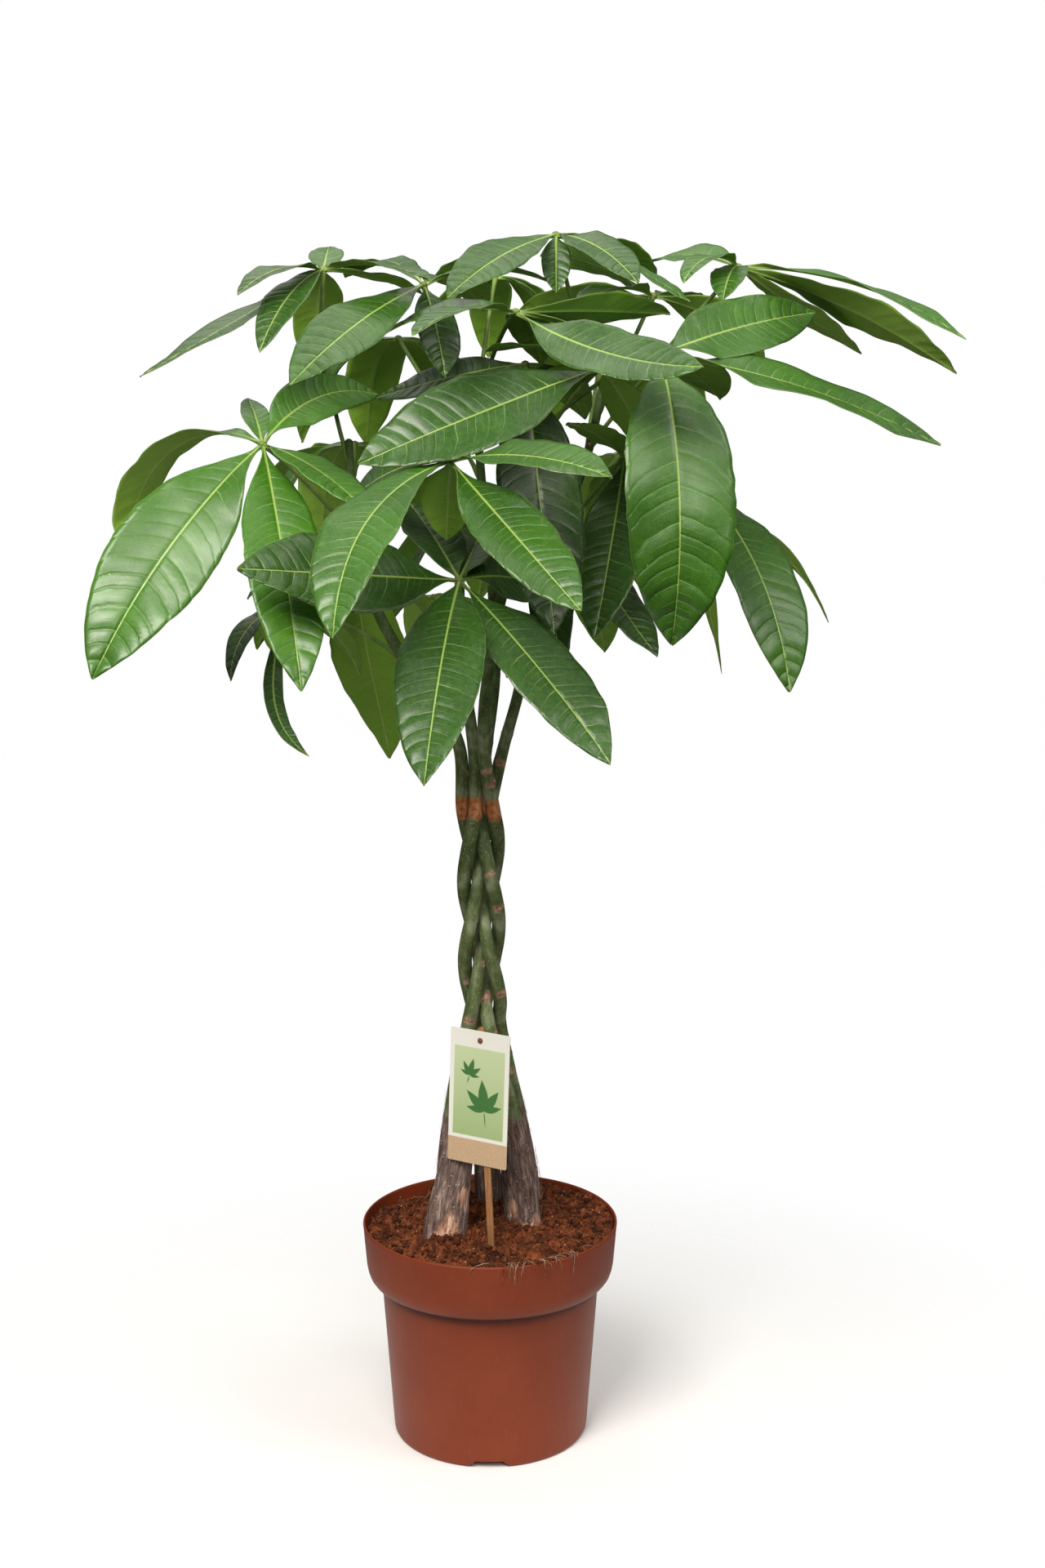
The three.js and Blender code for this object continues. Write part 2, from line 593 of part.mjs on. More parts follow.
function stickBlank(margin = 0) {
  const depth = STICK_DEPTH + 2 * margin;
  const options = { depth, bevelEnabled: false, curveSegments: 4 };
  const blank = new THREE.ExtrudeGeometry(stickOutline(margin), options);
  return blank.rotateX(Math.PI / 2).translate(0, depth / 2, 0);
}

function stickGeometry() {
  const peg = new THREE.CylinderGeometry(PEG_RADIUS, PEG_RADIUS, PEG_LENGTH + 1, 12);
  peg.translate(0, (1 - PEG_LENGTH - STICK_DEPTH) / 2, PEG_HEIGHT);
  return geometryOf(mainBody(solidOf(stickBlank()).add(solidOf(peg))));
}

// The card, with the middle of its hole at the origin
function cardGeometry() {
  const half = CARD_WIDTH / 2;
  const top = CARD_HOLE_DROP;
  const bottom = CARD_HOLE_DROP - CARD_HEIGHT;
  const shape = new THREE.Shape();
  shape.moveTo(half, bottom + CARD_CORNER);
  shape.lineTo(half, top - CARD_CORNER);
  shape.absarc(half - CARD_CORNER, top - CARD_CORNER, CARD_CORNER, 0, Math.PI / 2);
  shape.absarc(CARD_CORNER - half, top - CARD_CORNER, CARD_CORNER, Math.PI / 2, Math.PI);
  shape.absarc(CARD_CORNER - half, bottom + CARD_CORNER, CARD_CORNER, Math.PI, 1.5 * Math.PI);
  shape.absarc(half - CARD_CORNER, bottom + CARD_CORNER, CARD_CORNER, 1.5 * Math.PI, 2 * Math.PI);
  shape.holes.push(new THREE.Path().absarc(0, 0, CARD_HOLE_RADIUS, 0, 2 * Math.PI, true));
  const options = { depth: CARD_THICKNESS, bevelEnabled: false, curveSegments: 4 };
  const front = -STICK_DEPTH / 2 - CLEARANCE;
  return new THREE.ExtrudeGeometry(shape, options).rotateX(Math.PI / 2).translate(0, front, 0);
}

// ---------------------------------------------------------------- scene

const MATERIALS = {
  pot: { color: 0x9a5236, roughness: 0.45 },
  soil: { color: 0x4a2a1a, roughness: 1 },
  trunk: { color: 0x5a6a45, roughness: 0.8 },
  leaf: { color: 0x3f7a2c, roughness: 0.4 },
  label: { color: 0xeef0e8, roughness: 0.35 },
  stick: { color: 0xb08a55, roughness: 0.8 },
};

function piece(name, geometry, material) {
  const finish = new THREE.MeshStandardMaterial({ ...MATERIALS[material], metalness: 0 });
  const mesh = new THREE.Mesh(geometry, finish);
  mesh.name = name;
  return mesh;
}

function labelStand() {
  const stand = new THREE.Group();
  stand.position.copy(STICK_PLACE);
  stand.rotation.set(0, radians(STICK_LEAN), radians(STICK_YAW), "ZYX");
  const card = piece("plant_label", geometryOf(solidOf(cardGeometry())), "label");
  card.position.set(0, 0, PEG_HEIGHT);
  card.rotation.y = radians(CARD_SWING);
  stand.add(piece("label_stick", stickGeometry(), "stick"), card);
  stand.updateMatrixWorld(true);
  return stand;
}

const tree = new THREE.Group();
const stand = labelStand();
const holes = Object.values(STEMS).map((stem) => trunkGeometry(stem, CLEARANCE));
tree.add(piece("pot", potGeometry(), "pot"));
tree.add(piece("soil", soilGeometry(holes, stickBlank(CLEARANCE).applyMatrix4(stand.matrixWorld)), "soil"));
Object.entries(STEMS).forEach(([name, stem]) => {
  tree.add(piece(name, geometryOf(solidOf(trunkGeometry(stem))), "trunk"));
});
LEAVES.forEach(([name, stemName, height, hub, leaflets]) => {
  tree.add(piece(name, leafGeometry(STEMS[stemName], height, hub, leaflets), "leaf"));
});
tree.add(stand);

export default tree;
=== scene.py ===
"""The looks of a potted money tree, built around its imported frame.

Five braided trunks, palmate leaves, soil, a nursery pot and a label on its stick. Tables and formulas
are in millimetres and degrees, as the frame was made; every mesh is written in metres.
"""

import math

import bpy
import numpy as np
from mathutils import Matrix, Vector


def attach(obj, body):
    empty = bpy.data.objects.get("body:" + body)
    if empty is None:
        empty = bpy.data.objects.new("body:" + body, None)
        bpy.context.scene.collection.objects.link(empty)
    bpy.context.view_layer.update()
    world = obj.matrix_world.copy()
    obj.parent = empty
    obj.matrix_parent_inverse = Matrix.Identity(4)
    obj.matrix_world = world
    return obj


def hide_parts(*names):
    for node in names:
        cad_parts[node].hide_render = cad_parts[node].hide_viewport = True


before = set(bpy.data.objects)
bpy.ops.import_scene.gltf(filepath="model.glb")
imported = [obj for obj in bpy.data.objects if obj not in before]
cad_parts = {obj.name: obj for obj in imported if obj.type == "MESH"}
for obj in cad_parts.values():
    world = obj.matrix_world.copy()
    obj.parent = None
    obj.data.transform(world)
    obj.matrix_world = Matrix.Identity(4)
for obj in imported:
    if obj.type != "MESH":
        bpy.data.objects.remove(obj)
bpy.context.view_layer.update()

MM = 0.001

# ---------------------------------------------------------------- places and sizes, as in the frame

# Pot, as [radius, height]
FLOOR_UNDERSIDE = 8
FLOOR_TOP = 10
POT_OUTSIDE = [
    [86.3, 0.3], [86.8, 0], [89.8, 0], [90.5, 0.5], [91.6, 2.4], [92.3, 4], [95, 42], [98, 83], [101, 124],
    [102.9, 149.5], [103.2, 151.6], [104.4, 152.6], [108.6, 153.1], [110.5, 153.6], [112.6, 155.3],
    [114.5, 158], [116, 162.5], [117, 168], [118.1, 181], [119.2, 194], [119.9, 203.6], [120.2, 205.4],
    [120.1, 206.8], [119.5, 207.6],
]
POT_INSIDE = [
    [118.7, 207.6], [118.2, 207], [118, 206], [116.6, 188], [115, 168], [114.2, 163.5], [112.5, 160],
    [110.6, 157.4], [107.5, 155.4], [103, 154], [101.2, 152.6], [100.9, 150], [96, 93], [91.6, 42],
    [88.9, 11.5], [87.6, FLOOR_TOP],
]
CENTRE_FOOT = [[11.4, 0], [12, 0.5], [14, FLOOR_UNDERSIDE]]
POT_SEGMENTS = 180
NOTCH_COUNT = 4
NOTCH_HALF_WIDTHS = (12.5, 21.5)  # at its top and at the ground
NOTCH_HEIGHT = 7
DRAIN_COUNT = 6
DRAIN_RADIUS = 5
DRAIN_CIRCLE = 52
COLLAR_SHADE = (141, 151, 156.5, 154)  # heights between which shade is painted on the body under the collar
# How a loose fibre goes over the rim, as [radius, height]
RIM_PATH = [[108, 206.5], [114, 209.5], [118, 209.6], [120.6, 208.8], [121.8, 204], [121.6, 186]]

# Soil
SOIL_LEVEL = 203
SOIL_WALL = 117.2
SOIL_TILT = (2.6, -1.2)
SOIL_LIMIT = 206.6  # at the wall the soil stays under the rim
SOIL_BOTTOM = 166
SOIL_GRID = (84, 420)
SOIL_WAVES = (1.6, 1)  # heights of its two broad waves
SOIL_LUMPS = [(61, 9, 30, 2.4), (62, 3.5, 40, 1.7), (63, 1.4, 50, 0.8)]  # seed, breadth, count, height
CRUMBS = 1700  # how many of each
SOIL_FIBRES = 1200
RIM_FIBRES = 44

# Trunks
COLUMN_HEIGHTS = np.linspace(400, 604, 11)
COLUMN_X = (-6, -8.2)  # the column's middle at its lowest and at its highest
BRAID_PERIOD = 390
BRAID_PHASE_HEIGHT = 592
BRAID_WIDTH = 14
BRAID_SQUARENESS = 1.9
BRAID_DEPTH = 16
# A trunk's radius: below as [height, share of its foot's], above as [height, radius]
FOOT_TAPER = [[150, 1], [205, 1], [230, 0.97], [265, 0.84], [300, 0.68], [340, 0.5]]
SHOOT_TAPER = [[385, 6.7], [420, 6.5], [600, 6.5], [660, 5.6], [760, 5], [880, 4.2], [1000, 3.4]]
TIE_BAND = (597, 613)  # the bark is worn orange-brown where the trunks were tied
# Trunks: strand of the braid, radius at the foot, guide points [x, y, height] below and above the column
STEMS = {
    "stem_1": (1, 15, [[36, 46, 150], [35, 44, 205], [30, 37, 265], [18, 23, 340]], [
        [-27, 2, 660], [-46, -4, 702], [-76, -8, 742], [-100, -10, 787], [-115, -8, 840],
        [-122, -4, 900], [-124, 0, 935]]),
    "stem_2": (2, 18, [[34, 0, 150], [32, -2, 205], [26, -8, 265], [13, -14, 340]], [
        [-14, 4, 660], [-22, 10, 720], [-26, 0, 790], [-24, -12, 850], [-22, -18, 885]]),
    "stem_3": (0, 19, [[-44, -42, 150], [-42, -40, 205], [-33, -31, 265], [-17, -15, 340]], [
        [-2, 18, 660], [5, 32, 720], [4, 44, 790], [-4, 48, 870], [-10, 44, 940], [-12, 40, 985]]),
    "stem_4": (4, 15.5, [[-38, 26, 150], [-37, 26, 205], [-36, 20, 265], [-31, 7, 340]], [
        [-4, -15, 660], [-2, -22, 715], [10, -26, 790], [28, -28, 870], [44, -34, 930], [52, -38, 968]]),
    "stem_5": (3, 14.5, [[-1, 48, 150], [-1, 46, 205], [-4, 40, 265], [-9, 26, 340]], [
        [14, 14, 660], [27, 14, 709], [42, 14, 779], [64, 20, 850], [90, 28, 925], [104, 34, 990]]),
}
# Leaf scars that show on the column: trunk, height, bearing on the trunk
SCARS = [
    ("stem_4", 540, -110), ("stem_3", 546, -80), ("stem_3", 472, -110), ("stem_5", 440, -90),
    ("stem_1", 432, -70), ("stem_2", 422, -90), ("stem_4", 408, -100), ("stem_4", 642, -100),
    ("stem_5", 644, -90), ("stem_4", 628, -60), ("stem_3", 516, -70), ("stem_1", 350, -80),
]
SCAR_SIZE = (6.5, 3.1)  # half breadth and half height
# Patches of bark that are torn off: trunk, height, bearing, half height, half breadth
TORN_PATCHES = [
    ("stem_3", 208, -82, 15, 12), ("stem_3", 246, -38, 12, 7), ("stem_2", 222, -112, 13, 5),
    ("stem_2", 208, -66, 9, 13),
]
TORN_FIBRES = 150
TRUNK_SIDES = 36
# How a shoot's end is rounded off, as [height above its top, share of its radius]
TIP_SHAPE = np.array([[0.0, 1.0], [1.0, 0.92], [2.0, 0.7], [2.7, 0.42], [3.0, 0.12]])

# Leaves
ROLL_BY = 0.3
BLADE_FOLD = 0.1
BLADE_WAVE = 0.01
PETIOLE_SPRING = 55
PETIOLE_BEND = 0.25
HUB_RADIUS = 3.6
# Leaflet outline, as [share of its length, share of its half width]
OUTLINE = [
    [0, 0.035], [0.05, 0.07], [0.12, 0.26], [0.2, 0.56], [0.3, 0.82], [0.4, 0.95], [0.52, 1],
    [0.64, 0.95], [0.74, 0.83], [0.85, 0.6], [0.93, 0.33], [0.975, 0.13], [1, 0.015],
]
# A blade's broad waves, as [share of its length, share of their height]
WAVE_STATIONS = [[0, 0], [0.12, -1], [0.3, 1], [0.54, -1], [0.82, 1], [1, 0]]
VEIN_CURVE = (0.35, 0.3)  # how far a lateral vein runs forward, straight and curved, in half widths
VEIN_SWELL = (1.9, 0.2)  # how often and how far the veins' spacing changes
QUILT = 1.3  # about the height of the swelling between two veins, on a leaflet 60 wide
EDGE_RIPPLE = 0.55
PETIOLE_SIDES = 14
FINE_LEAVES = 17  # the leaves that the photo shows; those at the back have a coarser mesh
FINE_MESH = (84, 23)
COARSE_MESH = (48, 15)
LEAF_GREENS = [(0, 17, 44, 4), (0.35, 31, 72, 8), (0.65, 56, 107, 14), (1, 94, 139, 27)]

# Label and stick, in the label's own frame: x across the card, y away from the viewer, z up
CARD_WIDTH = 60
CARD_HEIGHT = 127
CARD_THICKNESS = 0.8
CARD_CORNER = 1.5
CARD_HOLE_RADIUS = 2.7
CARD_HOLE_DROP = 9
CARD_SWING = 4.8
STICK_WIDTH = 6
STICK_DEPTH = 3
STICK_BURIED = 50
STICK_HEIGHT = 210
STICK_POINT = 9
STICK_CORNER = 2.4
PEG_HEIGHT = 198
PEG_RADIUS = 2.3
STICK_PLACE = (2.2, -63.5, SOIL_LEVEL)
STICK_LEAN = -2.8
STICK_YAW = -26
CARD_MESH = (121, 255)
# The print's two plain five-lobed leaves: foot, length, lean
MOTIFS = [((6, 52), 30, -6), ((-10, 84), 17, 14)]
MOTIF_LOBES = [(-78, 0.62), (-40, 0.85), (0, 1), (40, 0.85), (78, 0.62)]

# Light and camera, in metres
ROOM_LIGHT = (0.04, 0.36)  # from below and from the ceiling
ROOM_COLOUR = (1, 1, 1, 1)
ROOM_SEEN = 1
PAPER_COLOUR = (0.92, 0.92, 0.92, 1)
FLOOR_FADE = (0.12, 0.75)
LAMP_COLOUR = (1, 0.95, 0.88)
LAMP_TARGET = (0, 0, 0.6)
# Lights: name, place, width, watts
SOFT_LIGHTS = [
    ("key", (-0.8, -1.8, 2.5), 1.3, 84),
    ("front", (0.5, -2.5, 1.9), 0.9, 18),
    ("side", (1.5, -0.8, 2.1), 1.0, 14),
    ("top", (0.2, 0.4, 2.8), 1.4, 9),
    ("back", (-0.7, 1.5, 2.6), 1.2, 5),
]
CAMERA_PLACE = (0.0307, -1.9601, 0.9779)
CAMERA_DIP = 10.18  # degrees below level
CAMERA_LENS = 50  # in mm, on a sensor 36 mm wide


def fan(facing, spread, count, length):
    """Leaflets of a leaf at the back of the crown, spread evenly about the bearing that it faces."""
    leaflets = []
    for i in range(count):
        off = spread * (i / (count - 1) - 0.5)
        own = length * (0.72 + 0.28 * math.cos(math.radians(off * 1.1)))
        leaflets.append([facing + off, 6 - abs(off) * 0.06, 90, own, 0.32 * own])
    return leaflets


# Compound leaves: name, trunk, height at which the petiole leaves it, hub, how light its green is from 0 to 1
# (lighter for young leaves, and darker for the leaves deep in the crown as painted shade), and leaflets as
# [bearing, pitch, droop, length, width], some with a roll and a swing
LEAVES = [
    ("leaf_01", "stem_1", 845, [-190, -90, 935], 0.62, [
        [150, 24, 120, 222, 66], [-139, -35, 25, 255, 88, -45], [-73, -42, 20, 245, 65],
        [-43, -9, 27, 140, 54], [50, 45, 58, 155, 50, 40], [105, 35, 20, 90, 24],
    ]),
    ("leaf_02", "stem_1", 915, [-145, 10, 1085], 0.4, [
        [90, 26, 10, 62, 32], [-120, 8, 40, 130, 36], [-134, -25, 0, 222, 44],
        [-110, -10, 40, 150, 38], [100, -15, 60, 140, 46], [-48, 8, 28, 150, 42],
        [50, 0, 15, 130, 42],
    ]),
    ("leaf_03", "stem_3", 935, [-55, -30, 1070], 0.35, [
        [-123, -16, 18, 205, 58, -20], [125, 35, 60, 140, 45], [70, 18, 50, 150, 50],
        [20, 25, 50, 130, 44], [-62, -50, 25, 90, 40],
    ]),
    ("leaf_04", "stem_5", 984, [60, 10, 1115], 0.42, [
        [-127, -10, 23, 165, 48, -20], [135, -8, 8, 165, 40], [-57, -4, 34, 135, 40, 15],
        [49, 3, 32, 150, 50], [-90, -45, 30, 60, 26], [-30, -17, 15, 145, 44],
    ]),
    ("leaf_05", "stem_5", 958, [150, 70, 1065], 0.4, [
        [130, 28, 25, 165, 52, 32], [160, 3, 20, 135, 44, 30], [56, 7, 26, 100, 38],
        [-126, 14, 42, 130, 44], [10, -10, 40, 125, 54, -30],
    ]),
    ("leaf_06", "stem_5", 930, [222, 20, 1088], 0.5, [
        [-33, -1, 32, 228, 44], [15, -14, 19, 235, 60, -15], [33, -27, 0, 165, 48],
        [-131, 29, 82, 90, 34], [128, 20, 31, 118, 42, -20], [-108, 0, 57, 70, 32],
    ]),
    ("leaf_07", "stem_4", 945, [144, -110, 1009], 0.5, [
        [37, 18, 12, 185, 60, 50], [10, -7, 20, 262, 64, 25], [-79, -35, 85, 265, 94],
        [58, -6, 24, 122, 58], [110, 15, 40, 130, 44],
    ]),
    ("leaf_08", "stem_3", 960, [25, -120, 1044], 0.38, [
        [-130, 10, 40, 130, 46], [155, 12, 42, 135, 44, -20], [-41, -26, -25, 200, 56, 40],
        [23, -8, 30, 150, 46], [41, 3, 5, 180, 50, -30], [77, 0, 46, 110, 40],
    ]),
    ("leaf_09", "stem_4", 925, [95, -130, 998], 0.25, [
        [-163, -18, 5, 220, 76, -50], [60, -25, 30, 120, 44], [110, 5, 40, 150, 48],
        [145, 25, 35, 120, 44], [25, 0, 40, 100, 40],
    ]),
    ("leaf_10", "stem_4", 885, [33, -85, 1002], 0.2, [
        [-75, -67, 0, 238, 74], [147, -5, 11, 160, 48, -40], [65, 0, 40, 140, 46],
        [110, 0, 40, 130, 44],
    ]),
    ("leaf_11", "stem_2", 850, [-28, -181, 924], 0.4, [
        [-36, 11, 30, 160, 48, 25], [-52, -33, 0, 200, 60, 25], [-143, -14, 46, 220, 62, 0, 50],
        [134, 1, 40, 160, 46, -45], [95, -35, 30, 90, 44],
    ]),
    ("leaf_12", "stem_2", 765, [-22, -140, 824], 0.3, [
        [-97, -24, 27, 235, 70], [-44, -33, 11, 218, 66, 20], [-150, 5, 0, 200, 76, -50],
        [114, 32, 10, 135, 50], [50, 6, 32, 140, 54, 50], [78, 24, 2, 115, 40],
    ]),
    ("leaf_13", "stem_5", 835, [192, 10, 892], 0.4, [
        [-61, -23, 54, 225, 70], [19, -25, 37, 182, 26], [100, -55, 25, 190, 16, 0, -80],
        [-100, 18, 50, 80, 34], [125, 12, 40, 130, 42],
    ]),
    ("leaf_14", "stem_5", 850, [122, 10, 921], 0.25, [
        [-119, 27, 21, 110, 44], [-106, -60, -10, 185, 60], [-45, -25, 40, 110, 40],
        [70, 0, 40, 130, 44], [105, -26, 40, 110, 42],
    ]),
    ("leaf_15", "stem_5", 785, [78, 0, 858], 0.2, [
        [-49, -50, -10, 150, 52], [70, -46, 16, 150, 50], [30, -20, 40, 105, 40],
        [-128, -38, 90, 130, 48], [165, -10, 50, 110, 42],
    ]),
    ("leaf_16", "stem_1", 770, [-125, 40, 830], 0.1, [
        [85, -62, 12, 215, 80, 0, -35], [150, -12, 55, 150, 48], [25, -20, 50, 140, 46],
        [-160, 10, 60, 110, 42],
    ]),
    ("leaf_17", "stem_1", 740, [-184, 10, 786], 0.25, [
        [-133, 4, 93, 100, 30], [-120, -66, -45, 175, 18, 0, 80], [100, -5, 50, 120, 42],
        [40, -10, 60, 110, 40],
    ]),
    ("leaf_18", "stem_3", 900, [-85, 110, 1028], 0.45, fan(108, 180, 5, 180)),
    ("leaf_19", "stem_3", 965, [5, 155, 1086], 0.45, fan(95, 200, 5, 130)),
    ("leaf_20", "stem_5", 915, [110, 165, 1033], 0.45, fan(72, 190, 5, 180)),
    ("leaf_21", "stem_1", 880, [-130, 150, 930], 0.45, fan(110, 190, 5, 190)),
    ("leaf_22", "stem_2", 820, [-5, 182, 866], 0.45, fan(94, 200, 5, 180)),
    ("leaf_23", "stem_5", 810, [124, 150, 920], 0.45, fan(72, 180, 5, 165)),
    ("leaf_24", "stem_2", 740, [-55, 130, 785], 0.45, fan(95, 210, 5, 165)),
]

# ---------------------------------------------------------------- curves


def smooth(table, at):
    """Reads rows of [place, values...] as a smooth curve, at the given places."""
    rows = np.array(table, float)
    at = np.atleast_1d(at)
    place, value = rows[:, 0], rows[:, 1:]
    before = np.maximum(np.arange(len(rows)) - 1, 0)
    after = np.minimum(np.arange(len(rows)) + 1, len(rows) - 1)
    slope = (value[after] - value[before]) / (place[after] - place[before])[:, None]
    i = np.clip(np.searchsorted(place, at, side="right") - 1, 0, len(rows) - 2)
    span = (place[i + 1] - place[i])[:, None]
    t = (at - place[i])[:, None] / span
    ends = (2 * t**3 - 3 * t**2 + 1) * value[i] + (3 * t**2 - 2 * t**3) * value[i + 1]
    return ends + ((t**3 - 2 * t**2 + t) * slope[i] + (t**3 - t**2) * slope[i + 1]) * span


def straight(table, at):
    rows = np.array(table, float)
    return np.interp(at, rows[:, 0], rows[:, 1])


def unit(vectors):
    return vectors / np.maximum(np.linalg.norm(vectors, axis=-1, keepdims=True), 1e-9)


def ease(low, high, value):
    """0 below low, 1 above high and a smooth step between."""
    t = np.clip((value - low) / (high - low), 0, 1)
    return t * t * (3 - 2 * t)


def ripple(seed, places, sizes, count=14):
    """Seeded smooth noise of about unit height, with its own size along each axis in mm."""
    draw = np.random.default_rng(seed)
    waves = draw.normal(size=(count, np.shape(places)[-1])) / np.array(sizes)
    phases = draw.uniform(0, 2 * math.pi, count)
    return np.sin(places @ waves.T + phases).sum(-1) / math.sqrt(count / 2)


def turns(sides):
    """Bearings in radians that go once round in even steps."""
    return 2 * math.pi * np.arange(sides) / sides


def polar(angle, radius, height):
    """Places at a bearing in radians, a distance from the z axis and a height."""
    return np.stack(np.broadcast_arrays(np.cos(angle) * radius, np.sin(angle) * radius, height), -1)


# ---------------------------------------------------------------- meshes


def grid(rows, columns, around=False):
    """Quads over a grid of points; around joins its last column to its first."""
    wide = columns if around else columns - 1
    i, j = np.divmod(np.arange((rows - 1) * wide), wide)
    k = (j + 1) % columns
    return np.stack([i * columns + j, i * columns + k, (i + 1) * columns + k, (i + 1) * columns + j], 1)


def closed(rings, first, last):
    """Points and faces of a body made of rings of points, with a middle point that closes either end."""
    count, sides = rings.shape[:2]
    side = np.arange(sides)
    after = (side + 1) % sides
    middle = np.full(sides, count * sides)
    top = (count - 1) * sides
    ends = [np.stack([middle, after, side], 1), np.stack([middle + 1, top + side, top + after], 1)]
    points = np.concatenate([rings.reshape(-1, 3), [first, last]])
    return points, [grid(count, sides, around=True), *ends]


class Piece:
    """The points and faces of one piece of the visual model, gathered part by part."""

    def __init__(self, name):
        self.name = name
        self.points = []
        self.faces = []
        self.materials = []
        self.values = {}
        self.count = 0

    def add(self, points, faces, material=0, **values):
        """Adds a part: its points, groups of faces, a material for all or each, values for the materials."""
        points = np.asarray(points, float).reshape(-1, 3)
        for group, number in zip(faces, np.broadcast_to(material, len(faces))):
            self.faces.append(np.asarray(group) + self.count)
            self.materials.append(np.full(len(group), number))
        for key in {**self.values, **values}:
            wide = np.broadcast_to(np.asarray(values.get(key, 0), float).reshape(-1), len(points))
            self.values.setdefault(key, [np.zeros(self.count)]).append(wide)
        self.points.append(points)
        self.count += len(points)

    def build(self, node, materials):
        """Makes the object, which rides on the plant and may stand for a node of the frame."""
        mesh = bpy.data.meshes.new(self.name)
        sizes = np.concatenate([np.full(len(group), group.shape[1]) for group in self.faces])
        corners = np.concatenate([group.ravel() for group in self.faces])
        mesh.vertices.add(self.count)
        mesh.vertices.foreach_set("co", (np.concatenate(self.points) * MM).ravel())
        mesh.loops.add(len(corners))
        mesh.loops.foreach_set("vertex_index", corners.astype(np.int32))
        mesh.polygons.add(len(sizes))
        mesh.polygons.foreach_set("loop_start", (np.cumsum(sizes) - sizes).astype(np.int32))
        mesh.polygons.foreach_set("material_index", np.concatenate(self.materials).astype(np.int32))
        mesh.update(calc_edges=True)
        mesh.shade_smooth()
        for key, parts in self.values.items():
            layer = mesh.attributes.new(key, "FLOAT", "POINT")
            layer.data.foreach_set("value", np.concatenate(parts))
        for material in materials:
            mesh.materials.append(material)
        made = bpy.data.objects.new(self.name, mesh)
        bpy.context.scene.collection.objects.link(made)
        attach(made, "root")
        if node:
            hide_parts(node)
        return made


def tube(path, radii, sides, sideways):
    """A closed tube along a path, its first side towards sideways. Radii may differ round each ring."""
    ahead = unit(np.gradient(path, axis=0))
    across = unit(sideways - ahead * (ahead @ sideways)[:, None])
    beside = np.cross(ahead, across)
    angle = turns(sides)[:, None]
    radii = np.broadcast_to(np.reshape(radii, (len(path), -1)), (len(path), sides))
    outward = across[:, None] * np.cos(angle) + beside[:, None] * np.sin(angle)
    rings = path[:, None] + outward * radii[..., None]
    return closed(rings, path[0], path[-1])


def lathe(profile, sides):
    """A body turned about the z axis. The profile is [radius, height] from its bottom to its top."""
    rows = np.array(profile, float)
    rings = polar(turns(sides), rows[:, :1], rows[:, 1:])
    return closed(rings, [0, 0, rows[0, 1]], [0, 0, rows[-1, 1]])


def finely(profile, step, margin=0.4):
    """Adds points along a profile's long stretches, with one close to either end of each."""
    fine = []
    for start, end in zip(profile[:-1], profile[1:]):
        start, end = np.array(start, float), np.array(end, float)
        length = np.linalg.norm(end - start)
        shares = [0]
        if length > step:
            inner = np.arange(step, length - step / 2, step)
            shares += [margin / length, *inner / length, 1 - margin / length]
        fine += [start + (end - start) * share for share in shares]
    return [*fine, np.array(profile[-1], float)]


# ---------------------------------------------------------------- materials


def tone(red, green, blue):
    """A colour as it is seen on a screen, 0 to 255, for a shader."""
    seen = np.array([red, green, blue]) / 255
    linear = np.where(seen <= 0.04045, seen / 12.92, ((seen + 0.055) / 1.055) ** 2.4)
    return (*linear, 1.0)


class Wire:
    """What a node gives. Plain arithmetic with it makes the next node."""

    def __init__(self, nodes, socket):
        self.nodes = nodes
        self.socket = socket

    def __add__(self, other):
        return self.nodes.math("ADD", self, other)

    def __sub__(self, other):
        return self.nodes.math("SUBTRACT", self, other)

    def __mul__(self, other):
        return self.nodes.math("MULTIPLY", self, other)

    def __truediv__(self, other):
        return self.nodes.math("DIVIDE", self, other)


class Nodes:
    """The nodes of a material or of the room. Each of its ways to make one gives a wire."""

    def __init__(self, owner, last):
        owner.use_nodes = True
        self.tree = owner.node_tree
        self.last = self.tree.nodes[last]

    def put(self, socket, value):
        """Links or sets a socket. A colour of three numbers is as it is seen, from 0 to 255."""
        if isinstance(value, Wire):
            self.tree.links.new(value.socket, socket)
        elif socket.type == "RGBA" and len(value) == 3:
            socket.default_value = tone(*value)
        else:
            socket.default_value = value

    def node(self, kind, inputs, output=0, **settings):
        made = self.tree.nodes.new(kind)
        for key, value in settings.items():
            setattr(made, key, value)
        for key, value in inputs.items():
            self.put(made.inputs[key], value)
        return Wire(self, made.outputs[output])

    def math(self, operation, *terms):
        return self.node("ShaderNodeMath", dict(enumerate(terms)), operation=operation)

    def feed(self, **inputs):
        """Puts values or wires into the last node, for example feed(Base_Color=...)."""
        for key, value in inputs.items():
            self.put(self.last.inputs[key.replace("_", " ")], value)


